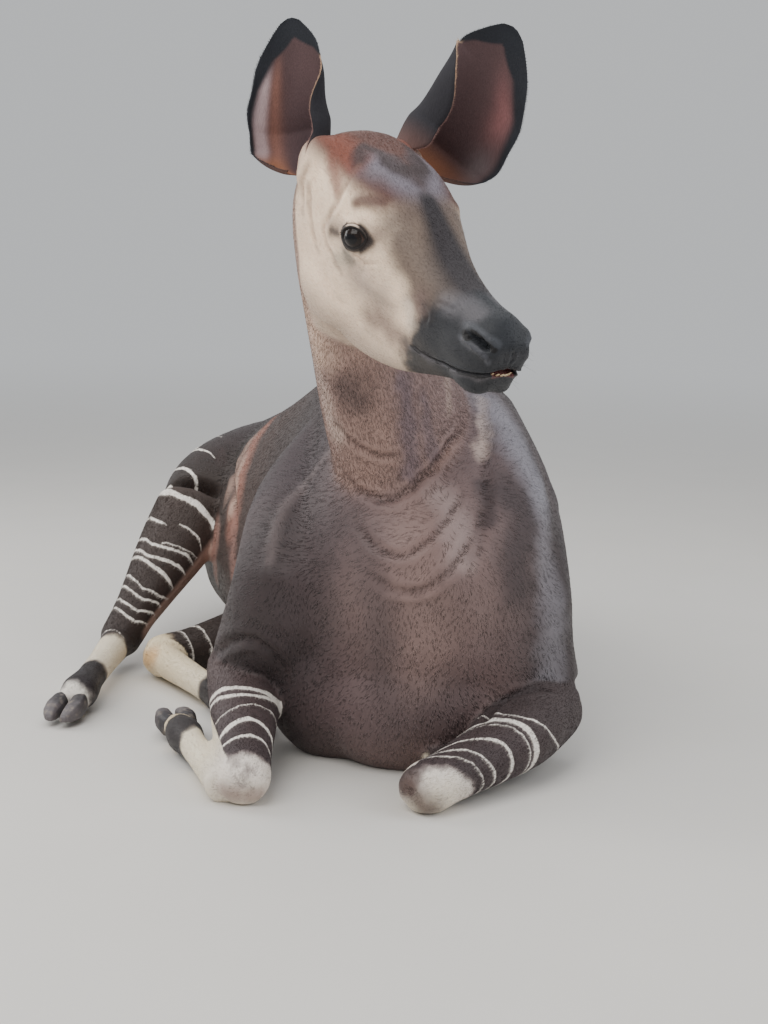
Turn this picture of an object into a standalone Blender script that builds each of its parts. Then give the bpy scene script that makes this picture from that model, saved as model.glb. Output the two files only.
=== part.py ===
"""Okapi lying on its brisket with its head up and turned, life size, in metres.

The animal faces -Y, its own right side is -X, and it rests on the plane z = 0.
Every form is a loft of rounded rings round a few named stations.  The forms of one
sub-part are fused by a voxel remesh, smoothed, thinned out, and then cut clear of
their neighbours and of the floor.
"""
import math
import random
import bpy
import bmesh
import numpy as np
from mathutils import Matrix, Vector

GAP = 0.0003                  # left between pieces that touch
UP = Vector((0.0, 0.0, 1.0))
RING_SIDES = 24

# Head frame: origin inside the occiput, axis towards the nose, tilted down and turned to the left
HEAD_ORIGIN = Vector((-0.114, -0.659, 1.013))
HEAD_TURN = math.radians(28.0)
HEAD_PITCH = math.radians(30.0)
EYE_PLACE = (0.172, 0.075, 0.004)     # along, sideways, up in the head frame
EYE_RADIUS = 0.0245
EYE_SLANT = math.radians(22.0)        # the slit rises this much towards the nose, off the head's axis
EYE_FORWARD = 0.42                    # how far the gaze turns from sideways to forward
LID_THICKNESS = 0.0060
SLIT_LENGTH = 0.043
SLIT_HEIGHT = 0.027
MOUTH_LINE = ((0.325, 0.050, -0.084), (0.369, 0.048, -0.080), (0.416, 0.048, -0.061),
              (0.452, 0.044, -0.045), (0.478, 0.030, -0.031), (0.492, 0.010, -0.025))
NOSTRIL_LINE = ((0.418, 0.047, 0.002), (0.440, 0.048, 0.008), (0.458, 0.044, 0.009),
                (0.474, 0.034, 0.007))
TOOTH_COUNT = 6
TOOTH_WIDTH = 0.0065
TOOTH_HEIGHT = 0.012

# Ears, the right and the left one: root in the head, tip, the way the cup opens, half width across
# the cup, how far its middle swings outwards, how much its edges curl, how far the inner edge folds over
EAR_RIGHT = (Vector((-0.177, -0.712, 1.024)), Vector((-0.202, -0.655, 1.250)), Vector((-0.42, -0.90, -0.05)),
             0.065, -0.026, 1.25, 0.55)
EAR_LEFT = (Vector((-0.012, -0.650, 1.048)), Vector((0.150, -0.640, 1.247)), Vector((0.15, -0.98, 0.00)),
            0.086, 0.039, 1.0, 1.0)
EAR_THICKNESS = 0.004

# Leg joints, with their places on or above the floor
ELBOW_RIGHT = Vector((-0.235, -0.270, 0.135))
CARPUS_RIGHT = Vector((-0.262, -0.632, 0.041))
FORE_FETLOCK_RIGHT = Vector((-0.348, -0.368, 0.036))
FORE_TOE_RIGHT = Vector((-0.368, -0.215, 0.030))
ELBOW_LEFT = Vector((0.293, -0.420, 0.100))
CARPUS_LEFT = Vector((0.030, -0.697, 0.041))
FORE_FETLOCK_LEFT = Vector((0.105, -0.420, 0.034))
FORE_TOE_LEFT = Vector((0.130, -0.285, 0.024))
STIFLE_RIGHT = Vector((-0.300, 0.455, 0.300))
HOCK_RIGHT = Vector((-0.468, 0.235, 0.060))
HIND_FETLOCK_RIGHT = Vector((-0.540, -0.085, 0.040))
HIND_TOE_RIGHT = Vector((-0.578, -0.185, 0.017))
STIFLE_LEFT = Vector((-0.060, 0.300, 0.080))
HOCK_LEFT = Vector((-0.385, 0.150, 0.045))
HIND_FETLOCK_LEFT = Vector((-0.262, -0.150, 0.036))
HIND_TOE_LEFT = Vector((-0.222, -0.265, 0.018))
TAIL_ROOT = Vector((-0.085, 0.780, 0.350))
TUFT_LOCKS = 12


def head_axes():
    """Forward, left and up directions of the head."""
    forward = Vector((math.sin(HEAD_TURN) * math.cos(HEAD_PITCH),
                      -math.cos(HEAD_TURN) * math.cos(HEAD_PITCH),
                      -math.sin(HEAD_PITCH)))
    left = Vector((math.cos(HEAD_TURN), math.sin(HEAD_TURN), 0.0))
    return forward, left, left.cross(forward) * -1.0


HEAD_FORWARD, HEAD_LEFT, HEAD_UP = head_axes()


def in_head(along, side, up):
    """World place of a point given in the head frame."""
    return HEAD_ORIGIN + HEAD_FORWARD * along + HEAD_LEFT * side + HEAD_UP * up


def clear_scene():
    for item in list(bpy.data.objects):
        bpy.data.objects.remove(item, do_unlink=True)


def link_mesh(name, mesh):
    item = bpy.data.objects.new(name, mesh)
    bpy.context.scene.collection.objects.link(item)
    return item


def ring_points(centre, side, up, half_width, top, bottom, taper=0.0, power=(2.0, 2.0)):
    """One rounded ring: wider above than below by taper, boxier with a higher power.

    The two powers are for the upper and the lower half.
    """
    points = []
    for step in range(RING_SIDES):
        angle = 2.0 * math.pi * step / RING_SIDES
        cos_a = math.cos(angle)
        sin_a = math.sin(angle)
        exponent = 2.0 / (power[0] if sin_a > 0.0 else power[1])
        across = math.copysign(abs(cos_a) ** exponent, cos_a)
        rise = math.copysign(abs(sin_a) ** exponent, sin_a)
        width = half_width * (1.0 + taper * rise)
        height = top if rise > 0.0 else bottom
        points.append(centre + side * (width * across) + up * (height * rise))
    return points


def loft(rings):
    """Closed mesh through a list of rings, with a fan on each end."""
    mesh = bmesh.new()
    rows = [[mesh.verts.new(point) for point in ring] for ring in rings]
    for lower, upper in zip(rows, rows[1:]):
        for step in range(RING_SIDES):
            after = (step + 1) % RING_SIDES
            mesh.faces.new((lower[step], lower[after], upper[after], upper[step]))
    for row in (rows[0], rows[-1]):
        middle = mesh.verts.new(sum((vert.co for vert in row), Vector()) / RING_SIDES)
        for step in range(RING_SIDES):
            mesh.faces.new((row[step], row[(step + 1) % RING_SIDES], middle))
    bmesh.ops.recalc_face_normals(mesh, faces=mesh.faces)
    data = bpy.data.meshes.new("form")
    mesh.to_mesh(data)
    mesh.free()
    return data


def tube_from_rings(rings):
    """Closed mesh through rings of few sides, its ends left as flat faces."""
    mesh = bmesh.new()
    rows = [[mesh.verts.new(point) for point in ring] for ring in rings]
    count = len(rows[0])
    for lower, upper in zip(rows, rows[1:]):
        for step in range(count):
            after = (step + 1) % count
            mesh.faces.new((lower[step], lower[after], upper[after], upper[step]))
    mesh.faces.new(rows[0])
    mesh.faces.new(rows[-1])
    bmesh.ops.recalc_face_normals(mesh, faces=mesh.faces)
    data = bpy.data.meshes.new("tube")
    mesh.to_mesh(data)
    mesh.free()
    return data


def smooth_stations(stations, steps):
    """Catmull-Rom values between the given rows of numbers."""
    rows = [np.array(row, float) for row in stations]
    rows = [2 * rows[0] - rows[1]] + rows + [2 * rows[-1] - rows[-2]]
    result = []
    for index in range(1, len(rows) - 2):
        before, start, end, after = rows[index - 1:index + 3]
        for step in range(steps):
            t = step / steps
            result.append(0.5 * (2 * start + (end - before) * t
                                 + (2 * before - 5 * start + 4 * end - after) * t ** 2
                                 + (3 * start - before - 3 * end + after) * t ** 3))
    result.append(rows[-2])
    return result


def body_form(stations, dorsal, taper=0.0, power=(2.0, 2.0), steps=4):
    """Loft along a path: each station is x, y, z, half width, top, bottom.

    dorsal is a direction, or one for each station, that the rings' tops point to.
    """
    if isinstance(dorsal, Vector):
        dorsal = [dorsal] * len(stations)
    rows = [tuple(row) + tuple(up) for row, up in zip(stations, dorsal)]
    rows = smooth_stations(rows, steps)
    places = [Vector(row[:3]) for row in rows]
    rings = []
    for index, row in enumerate(rows):
        behind = places[max(index - 1, 0)]
        ahead = places[min(index + 1, len(places) - 1)]
        along = (ahead - behind).normalized()
        up = Vector(row[6:9])
        up = (up - along * up.dot(along)).normalized()
        side = along.cross(up)
        rings.append(ring_points(places[index], side, up, row[3], row[4], row[5], taper, power))
    return loft(rings)


def limb_form(places, widths, depths, dorsal, power=(2.0, 2.0), steps=4):
    """A limb through a few places, as wide and as deep as the lists say."""
    stations = [tuple(place) + (width, depth, depth)
                for place, width, depth in zip(places, widths, depths)]
    return body_form(stations, dorsal, power=power, steps=steps)


def ball(centre, radii, turn=None):
    """An ellipsoid, turned by a matrix where one is given."""
    mesh = bmesh.new()
    bmesh.ops.create_icosphere(mesh, subdivisions=3, radius=1.0)
    size = Matrix.Diagonal((*radii, 1.0))
    spin = turn.to_4x4() if turn else Matrix.Identity(4)
    bmesh.ops.transform(mesh, matrix=Matrix.Translation(centre) @ spin @ size, verts=mesh.verts)
    data = bpy.data.meshes.new("form")
    mesh.to_mesh(data)
    mesh.free()
    return data


def join_forms(name, forms):
    mesh = bmesh.new()
    for form in forms:
        mesh.from_mesh(form)
        bpy.data.meshes.remove(form)
    data = bpy.data.meshes.new(name)
    mesh.to_mesh(data)
    mesh.free()
    return link_mesh(name, data)


def evaluated_copy(item):
    """The object's mesh with its modifiers applied."""
    graph = bpy.context.evaluated_depsgraph_get()
    return bpy.data.meshes.new_from_object(item.evaluated_get(graph))


def apply_all(item):
    mesh = evaluated_copy(item)
    old = item.data
    item.modifiers.clear()
    item.data = mesh
    bpy.data.meshes.remove(old)
    mesh.name = item.name
    return item


def fuse(name, forms, voxel, rounds):
    """Melt overlapping forms into one closed surface and smooth it."""
    item = join_forms(name, forms)
    melt = item.modifiers.new("melt", "REMESH")
    melt.mode = "VOXEL"
    melt.voxel_size = voxel
    soften = item.modifiers.new("soften", "SMOOTH")
    soften.factor = 0.5
    soften.iterations = rounds
    return apply_all(item)


def keep_largest(item):
    """Drop every closed surface but the one with most faces."""
    mesh = bmesh.new()
    mesh.from_mesh(item.data)
    waiting = set(mesh.faces)
    shells = []
    while waiting:
        shell = [waiting.pop()]
        for face in shell:
            for edge in face.edges:
                for other in edge.link_faces:
                    if other in waiting:
                        waiting.discard(other)
                        shell.append(other)
        shells.append(shell)
    shells.sort(key=len)
    for shell in shells[:-1]:
        bmesh.ops.delete(mesh, geom=shell, context="FACES")
    loose = [vert for vert in mesh.verts if not vert.link_faces]
    bmesh.ops.delete(mesh, geom=loose, context="VERTS")
    mesh.to_mesh(item.data)
    mesh.free()
    return item


def is_closed(mesh):
    """Whether every edge has two faces, also once the mesh is split into triangles."""
    probe = bmesh.new()
    probe.from_mesh(mesh)
    bmesh.ops.triangulate(probe, faces=probe.faces)
    closed = all(len(edge.link_faces) == 2 for edge in probe.edges)
    probe.free()
    return closed


def combine(item, tools, operation="DIFFERENCE"):
    """Boolean of the object with each tool mesh in turn, by the solver that keeps it closed."""
    for tool in tools:
        helper = link_mesh("cutter", tool)
        before = item.data.copy()
        for solver in ("EXACT", "MANIFOLD"):
            boolean = item.modifiers.new("boolean", "BOOLEAN")
            boolean.operation = operation
            boolean.solver = solver
            boolean.object = helper
            apply_all(item)
            if is_closed(item.data):
                break
            if solver == "EXACT":
                item.data = before.copy()
        bpy.data.meshes.remove(before)
        bpy.data.objects.remove(helper, do_unlink=True)
        bpy.data.meshes.remove(tool)
    return keep_largest(item)


def thin_out(item, triangles):
    """Collapse edges until about this many triangles are left and the mesh is still closed."""
    mesh = bmesh.new()
    mesh.from_mesh(item.data)
    bmesh.ops.dissolve_degenerate(mesh, edges=mesh.edges, dist=1e-6)
    bmesh.ops.triangulate(mesh, faces=mesh.faces)
    count = len(mesh.faces)
    mesh.to_mesh(item.data)
    mesh.free()
    full = item.data.copy()
    for share in (1.0, 0.97, 1.03, 0.94, 1.06, 0.9, 1.1):
        decimate = item.modifiers.new("thin", "DECIMATE")
        decimate.ratio = min(1.0, share * triangles / count)
        decimate.use_collapse_triangulate = True
        apply_all(item)
        if is_closed(item.data):
            break
        item.data = full.copy()
    bpy.data.meshes.remove(full)
    return item


def grown(source, distance=GAP):
    """A copy of a mesh, swollen along its normals by the gap."""
    mesh = source.copy()
    swell = bmesh.new()
    swell.from_mesh(mesh)
    swell.normal_update()
    moves = []
    for vert in swell.verts:
        sharpness = sum(max(vert.normal.dot(face.normal), 0.3) for face in vert.link_faces)
        moves.append(vert.normal * distance * len(vert.link_faces) / sharpness)
    for vert, move in zip(swell.verts, moves):
        vert.co += move
    swell.to_mesh(mesh)
    swell.free()
    return mesh


def slab(point, normal, size=3.0):
    """A big block whose face lies at the point and which fills the side the normal points to."""
    mesh = bmesh.new()
    bmesh.ops.create_cube(mesh, size=size)
    spin = normal.to_track_quat("Z", "Y").to_matrix().to_4x4()
    place = Matrix.Translation(point + normal.normalized() * size / 2)
    bmesh.ops.transform(mesh, matrix=place @ spin, verts=mesh.verts)
    data = bpy.data.meshes.new("block")
    mesh.to_mesh(data)
    mesh.free()
    return data


def floor_block():
    return slab(Vector((0.0, 0.0, 0.0)), Vector((0.0, 0.0, -1.0)), size=4.0)


def torso_forms():
    """Barrel, shoulders, haunches: the trunk from the breast to the rump."""
    trunk = [
        (0.045, -0.575, 0.280, 0.080, 0.090, 0.140),
        (0.050, -0.530, 0.295, 0.165, 0.180, 0.270),
        (0.062, -0.430, 0.315, 0.232, 0.285, 0.325),
        (0.082, -0.280, 0.330, 0.248, 0.358, 0.345),
        (0.085, -0.100, 0.340, 0.258, 0.370, 0.355),
        (0.070, 0.100, 0.320, 0.282, 0.335, 0.335),
        (0.035, 0.300, 0.295, 0.288, 0.285, 0.305),
        (0.000, 0.480, 0.270, 0.265, 0.262, 0.285),
        (-0.035, 0.610, 0.255, 0.240, 0.245, 0.270),
        (-0.070, 0.725, 0.240, 0.185, 0.205, 0.250),
        (-0.090, 0.805, 0.230, 0.100, 0.130, 0.150),
    ]
    leans = [0.0, 0.0, 0.0, 0.0, 0.0, 0.05, 0.12, 0.2, 0.3, 0.35, 0.35]
    dorsal = [Vector((lean, 0.0, 1.0)).normalized() for lean in leans]
    forms = [body_form(trunk, dorsal, taper=-0.06, power=(2.2, 2.7))]
    forms.append(ball(Vector((0.055, -0.405, 0.125)), (0.190, 0.145, 0.155)))
    forms.append(ball(Vector((-0.070, -0.330, 0.160)), (0.150, 0.150, 0.190)))
    forms.append(ball(Vector((0.190, -0.350, 0.160)), (0.140, 0.140, 0.180)))
    # shoulder blade and upper arm of each side
    blades = (
        (0.060, (-0.040, -0.120, 0.560), (-0.130, -0.270, 0.430), (-0.165, -0.390, 0.310),
         (-0.195, -0.345, 0.215), ELBOW_RIGHT + Vector((0.010, 0.000, 0.010))),
        (0.072, (0.197, -0.160, 0.592), (0.235, -0.270, 0.440), (0.225, -0.410, 0.310),
         (0.248, -0.400, 0.205), ELBOW_LEFT + Vector((-0.010, 0.010, 0.015))),
    )
    for top, *places in blades:
        forms.append(limb_form([Vector(place) for place in places],
                               (top, 0.095, 0.105, 0.095, 0.078),
                               (top, 0.090, 0.105, 0.095, 0.075), Vector((0.0, 1.0, 0.3))))
    # right haunch: croup, thigh, stifle
    thigh = [Vector((-0.060, 0.690, 0.345)), Vector((-0.140, 0.620, 0.350)),
             Vector((-0.245, 0.540, 0.335)), STIFLE_RIGHT]
    forms.append(limb_form(thigh, (0.145, 0.160, 0.132, 0.095), (0.110, 0.118, 0.102, 0.080),
                           Vector((-0.5, 0.3, 1.0))))
    # left haunch on the floor, its stifle under the belly
    thigh = [Vector((0.040, 0.640, 0.200)), Vector((0.070, 0.510, 0.170)),
             Vector((0.040, 0.380, 0.130)), STIFLE_LEFT]
    forms.append(limb_form(thigh, (0.150, 0.150, 0.120, 0.080), (0.140, 0.140, 0.110, 0.070), UP))
    return forms


def neck_forms():
    """Neck from deep between the shoulders up to the occiput, leaning forward and to the right."""
    neck = [
        (0.085, -0.180, 0.420, 0.150, 0.230, 0.200),
        (0.070, -0.300, 0.470, 0.140, 0.190, 0.190),
        (0.030, -0.400, 0.555, 0.115, 0.160, 0.150),
        (-0.018, -0.480, 0.660, 0.095, 0.140, 0.130),
        (-0.064, -0.550, 0.780, 0.083, 0.120, 0.112),
        (-0.103, -0.600, 0.890, 0.078, 0.105, 0.100),
        (-0.118, -0.640, 0.980, 0.076, 0.088, 0.090),
        (-0.112, -0.690, 1.030, 0.060, 0.060, 0.060),
    ]
    dorsal = [Vector(way).normalized() for way in (
        (0.10, 0.70, 0.70), (0.25, 0.85, 0.45), (0.50, 0.80, 0.30), (0.70, 0.75, 0.30),
        (0.60, 0.80, 0.30), (0.30, 0.95, 0.30), (0.00, 1.00, 0.30), (0.00, 0.80, 0.60))]
    return [body_form(neck, dorsal, taper=-0.10)]


def head_forms():
    """Skull, jaw and muzzle in the head frame: along, centre height, half width, top, bottom."""
    stations = (
        (-0.045, -0.040, 0.045, 0.050, 0.050),
        (-0.020, -0.040, 0.068, 0.105, 0.085),
        (0.015, -0.035, 0.084, 0.128, 0.120),
        (0.060, -0.030, 0.091, 0.130, 0.148),
        (0.120, -0.030, 0.091, 0.132, 0.165),
        (0.170, -0.030, 0.086, 0.124, 0.168),
        (0.225, -0.032, 0.071, 0.106, 0.155),
        (0.285, -0.035, 0.059, 0.084, 0.128),
        (0.345, -0.035, 0.052, 0.073, 0.092),
        (0.400, -0.028, 0.047, 0.066, 0.068),
        (0.438, -0.022, 0.046, 0.066, 0.060),
        (0.462, -0.018, 0.041, 0.054, 0.054),
        (0.480, -0.016, 0.029, 0.036, 0.038),
    )
    rings = []
    for along, height, width, top, bottom in smooth_stations(stations, 3):
        taper = 0.34 * max(0.0, min(1.0, (0.42 - along) / 0.2))
        rings.append(ring_points(in_head(along, 0.0, height), HEAD_LEFT, HEAD_UP,
                                 width, top, bottom, taper, (2.3, 2.3)))
    forms = [loft(rings)]
    turn = Matrix((HEAD_FORWARD, HEAD_LEFT, HEAD_UP)).transposed()
    lumps = (
        ((0.100, 0.036, -0.112), (0.090, 0.037, 0.078)),    # jaw muscle
        ((0.170, 0.050, -0.040), (0.110, 0.031, 0.034)),    # cheek bone
        ((0.150, 0.064, 0.046), (0.052, 0.024, 0.022)),     # brow
        ((0.100, 0.032, 0.082), (0.030, 0.020, 0.020)),     # forehead knob
        ((0.020, 0.066, 0.036), (0.045, 0.036, 0.044)),     # ear muscle
        ((0.440, 0.026, -0.002), (0.042, 0.023, 0.034)),    # nostril wing
        ((0.405, 0.028, -0.030), (0.075, 0.024, 0.026)),    # upper lip
        ((0.432, 0.020, -0.062), (0.046, 0.024, 0.021)),    # lower lip
    )
    for place, radii in lumps:
        for side in (-1.0, 1.0):
            centre = in_head(place[0], place[1] * side, place[2])
            forms.append(ball(centre, radii, turn))
    for root, tip in (EAR_RIGHT[:2], EAR_LEFT[:2]):
        along = (tip - root).normalized()
        inside = in_head(0.030, 0.050 * math.copysign(1.0, (root - HEAD_ORIGIN).dot(HEAD_LEFT)), 0.020)
        forms.append(limb_form([inside, root.lerp(inside, 0.4), root + along * 0.012],
                               (0.040, 0.037, 0.027), (0.040, 0.037, 0.027), HEAD_FORWARD))
    return forms


def lid_forms():
    """Swelling of the lids over each eyeball."""
    radius = EYE_RADIUS + LID_THICKNESS
    return [ball(eye_centre(side), (radius,) * 3) for side in (-1.0, 1.0)]


def head_block(clearance):
    """A wedge round the head: in front of a plane behind the jaw and occiput, above the throat."""
    low, back, slope, high, reach = -0.222, 0.072, -0.434, 0.500, 1.000
    profile = ((back + clearance, low + clearance), (reach, low + clearance), (reach, high),
               (back + slope * (high - low) + clearance, high))
    return tube_from_rings([[in_head(along, across, up) for along, up in profile]
                            for across in (-0.6, 0.6)])


def neck_cut():
    """Where neck and torso part: a plane that slants from the withers to the breast."""
    return Vector((0.020, -0.410, 0.590)), Vector((-0.33, -0.47, 0.82)).normalized()


def split_at(item, other_name, cut):
    """Part an object at a plane, with the gap; the new object is on the side of the normal."""
    point, normal = cut
    other = link_mesh(other_name, item.data.copy())
    combine(item, [slab(point - normal * GAP / 2, normal)])
    combine(other, [slab(point + normal * GAP / 2, -normal)])
    return other


def gaze(side):
    """Directions of an eye: outward, along its slit, and across it."""
    outward = (HEAD_LEFT * side + HEAD_FORWARD * EYE_FORWARD).normalized()
    slit = HEAD_FORWARD * math.cos(EYE_SLANT) + HEAD_UP * math.sin(EYE_SLANT)
    slit = (slit - outward * slit.dot(outward)).normalized()
    across = outward.cross(slit)
    return outward, slit, across if across.dot(HEAD_UP) > 0.0 else -across


def eye_centre(side):
    return in_head(EYE_PLACE[0], EYE_PLACE[1] * side, EYE_PLACE[2])


def slit_cutter(side):
    """Almond-shaped block from the eye outwards, which opens the lids."""
    outward, slit, across = gaze(side)
    rings = []
    for reach, flare in ((0.2 * EYE_RADIUS, 0.9), (2.2 * EYE_RADIUS, 1.25)):
        ring = []
        for step in range(16):
            angle = 2.0 * math.pi * step / 16
            along = math.cos(angle) * SLIT_LENGTH / 2 * flare
            rise = math.copysign(abs(math.sin(angle)) ** 1.3, math.sin(angle)) * SLIT_HEIGHT / 2 * flare
            ring.append(eye_centre(side) + outward * reach + slit * along + across * rise)
        rings.append(ring)
    return tube_from_rings(rings)


def groove(line, side, radii):
    """A bent, tapered rod along a line of head-frame points, to press a groove with."""
    rings = []
    places = [in_head(along, across * side, up) for along, across, up in line]
    for index, (place, radius) in enumerate(zip(places, radii)):
        along = (places[min(index + 1, len(places) - 1)] - places[max(index - 1, 0)]).normalized()
        up = (HEAD_UP - along * HEAD_UP.dot(along)).normalized()
        rings.append(ring_points(place, along.cross(up), up, radius * 1.6, radius, radius)[::3])
    return tube_from_rings(rings)


def ear(name, root, tip, opening, broad, swing, curl, fold):
    """A cupped leaf, folded into a tube at its root, its edge on the head's side rolled over."""
    along = (tip - root).normalized()
    length = (tip - root).length
    facing = (opening - along * opening.dot(along)).normalized()
    side = along.cross(facing)
    if side.x < 0.0:
        side = -side
    heights = (0.00, 0.08, 0.18, 0.30, 0.44, 0.58, 0.70, 0.80, 0.88, 0.945, 0.985, 1.00)
    widths = (0.46, 0.72, 0.92, 1.00, 1.00, 0.95, 0.85, 0.71, 0.53, 0.34, 0.18, 0.07)
    half_turns = (2.30, 2.10, 1.70, 1.35, 1.10, 0.92, 0.78, 0.68, 0.58, 0.48, 0.40, 0.40)
    columns = 10
    mesh = bmesh.new()
    grids = []
    for offset in (0.0, EAR_THICKNESS):
        grid = []
        for height, width, half_turn in zip(heights, widths, half_turns):
            half_turn = min(half_turn * curl, math.pi / 2) if half_turn < math.pi / 2 else half_turn
            radius = width * broad / math.sin(min(half_turn, math.pi / 2))
            bend = 0.010 * math.sin(height * math.pi)
            roll = fold * math.sin(math.pi * min(height / 0.72, 1.0)) ** 0.7
            centre = root + along * (height * length) + side * (swing * math.sin(height ** 0.55 * math.pi))
            row = []
            for column in range(columns + 1):
                place = 2.0 * column / columns - 1.0
                inner_side = place * swing < 0.0
                angle = half_turn * place * (1.0 + (roll / half_turn * place ** 2 if inner_side else 0.0))
                drawn_in = 1.0 + (0.35 * roll * abs(place) ** 3 if inner_side else 0.0)
                reach = radius / drawn_in + (offset if 0 < column < columns else offset / 2)
                depth = reach * math.cos(angle) - radius * math.cos(min(half_turn, math.pi / 2)) + bend
                row.append(mesh.verts.new(centre + side * (reach * math.sin(angle)) - facing * depth))
            grid.append(row)
        grids.append(grid)
    inner, outer = grids
    rows = len(heights)

    def quad(a, b, c, d):
        mesh.faces.new((a, b, c))
        mesh.faces.new((a, c, d))

    for row in range(rows - 1):
        for column in range(columns):
            for grid in grids:
                quad(grid[row][column], grid[row][column + 1],
                     grid[row + 1][column + 1], grid[row + 1][column])
        for column in (0, columns):
            quad(inner[row][column], outer[row][column], outer[row + 1][column], inner[row + 1][column])
    for row in (0, rows - 1):
        for column in range(columns):
            quad(inner[row][column], inner[row][column + 1], outer[row][column + 1], outer[row][column])
    bmesh.ops.recalc_face_normals(mesh, faces=mesh.faces)
    data = bpy.data.meshes.new(name)
    mesh.to_mesh(data)
    mesh.free()
    return link_mesh(name, data)


def lip_gap():
    """The slightly open front of the mouth, through which the lower teeth show."""
    front, deep = 0.560, 0.466
    mesh = bmesh.new()
    bmesh.ops.create_cube(mesh, size=1.0)
    for vert in mesh.verts:
        along = front if vert.co.x > 0.0 else deep
        wide = 0.026 if vert.co.x > 0.0 else 0.019
        tall = 0.0095 if vert.co.x > 0.0 else 0.0050
        up = -0.0265 + (tall if vert.co.z > 0.0 else -tall)
        vert.co = in_head(along, wide * (1.0 if vert.co.y > 0.0 else -1.0), up)
    bmesh.ops.recalc_face_normals(mesh, faces=mesh.faces)
    data = bpy.data.meshes.new("gap")
    mesh.to_mesh(data)
    mesh.free()
    return data


def incisors():
    """The row of lower front teeth that shows between the lips."""
    gum = in_head(0.464, 0.0, -0.040)
    forms = [ball(gum, (0.008, 0.019, 0.008), Matrix((HEAD_FORWARD, HEAD_LEFT, HEAD_UP)).transposed())]
    for index in range(TOOTH_COUNT):
        place = index - (TOOTH_COUNT - 1) / 2
        across = place * TOOTH_WIDTH
        bow = 0.010 - 0.0011 * place ** 2
        foot = gum + HEAD_LEFT * (across * 0.9) + HEAD_FORWARD * bow * 0.5
        crown = gum + HEAD_LEFT * across + HEAD_FORWARD * (bow + 0.004) + HEAD_UP * TOOTH_HEIGHT
        rings = []
        for share, half_width, half_depth in ((0.0, 0.0024, 0.0030), (0.6, 0.0029, 0.0026),
                                              (1.0, 0.0031, 0.0012)):
            rings.append(ring_points(foot.lerp(crown, share), HEAD_LEFT, HEAD_FORWARD,
                                     half_width, half_depth, half_depth, power=(3.0, 3.0)))
        forms.append(loft(rings))
    return fuse("incisors", forms, 0.0011, 1)


def fore_leg(tag, elbow, carpus, fetlock, toe, knee_push, cannon_start, belly):
    """Forearm down to the knee on the floor, and the cannon folded back from it."""
    forearm = fuse(tag + "_forearm", [limb_form(
        [elbow, elbow.lerp(carpus, 0.30) + belly, elbow.lerp(carpus, 0.80) + belly * 0.4, carpus,
         carpus + knee_push],
        (0.074, 0.066, 0.049, 0.048, 0.034), (0.074, 0.062, 0.045, 0.045, 0.030), UP)], 0.008, 2)
    pastern = fetlock.lerp(toe, 0.52)
    cannon = fuse(tag + "_cannon", [limb_form(
        [cannon_start, cannon_start.lerp(fetlock, 0.25), cannon_start.lerp(fetlock, 0.75), fetlock,
         fetlock.lerp(pastern, 0.65), pastern],
        (0.034, 0.028, 0.026, 0.035, 0.030, 0.034), (0.034, 0.029, 0.027, 0.034, 0.026, 0.024), UP)],
        0.007, 2)
    return [forearm, cannon] + hooves(tag, pastern, toe)


def hooves(tag, coronet, toe):
    """Two claws side by side: a flat sole, a rounded wall, pointed in front."""
    along = (toe - coronet).normalized()
    up = (UP - along * UP.dot(along)).normalized()
    side = along.cross(up)
    length = (toe - coronet).length + 0.010
    claws = []
    for number, hand in (("_hoof_a", -1.0), ("_hoof_b", 1.0)):
        rings = []
        for share, half_width, back, front, spread in (
                (-0.18, 0.0125, 0.016, 0.016, 0.0165), (0.00, 0.0165, 0.022, 0.020, 0.0185),
                (0.35, 0.0178, 0.020, 0.020, 0.0205), (0.70, 0.0150, 0.012, 0.018, 0.0190),
                (0.93, 0.0095, 0.004, 0.012, 0.0150), (1.00, 0.0050, 0.001, 0.007, 0.0125)):
            centre = coronet + along * (share * length) + side * (hand * spread)
            rings.append(ring_points(centre, side, up, half_width, front, back, power=(2.6, 2.0))[::2])
        claws.append(link_mesh(tag + number, tube_from_rings(rings)))
    return claws


def hind_leg(tag, stifle, hock, fetlock, toe):
    """Gaskin from the stifle to the hock, and the cannon lying forward from it."""
    heel = hock + (hock - fetlock).normalized() * 0.012
    gaskin = fuse(tag + "_gaskin", [limb_form(
        [stifle, stifle.lerp(hock, 0.35), stifle.lerp(hock, 0.78), hock, hock + (hock - stifle) * 0.06],
        (0.095, 0.080, 0.050, 0.044, 0.034), (0.080, 0.068, 0.046, 0.045, 0.034), UP)], 0.008, 2)
    pastern = fetlock.lerp(toe, 0.42)
    cannon = fuse(tag + "_cannon", [limb_form(
        [heel, heel.lerp(fetlock, 0.25), heel.lerp(fetlock, 0.75), fetlock,
         fetlock.lerp(pastern, 0.65), pastern],
        (0.040, 0.032, 0.029, 0.038, 0.032, 0.036), (0.042, 0.034, 0.029, 0.036, 0.028, 0.026), UP)],
        0.007, 2)
    return [gaskin, cannon] + hooves(tag, pastern, toe)


def lock(root, way, length, half_width, thickness, droop):
    """One flat, tapered lock of hair that bends down towards its tip."""
    rings = []
    for share, swell in ((0.0, 0.55), (0.25, 1.0), (0.55, 0.85), (0.82, 0.50), (1.0, 0.14)):
        centre = root + way * (share * length) - UP * (droop * share ** 2)
        side = way.cross(UP).normalized()
        half_height = thickness * (0.5 + 0.5 * swell)
        rings.append(ring_points(centre, side, UP, half_width * swell, half_height, half_height)[::4])
    return tube_from_rings(rings)


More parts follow.
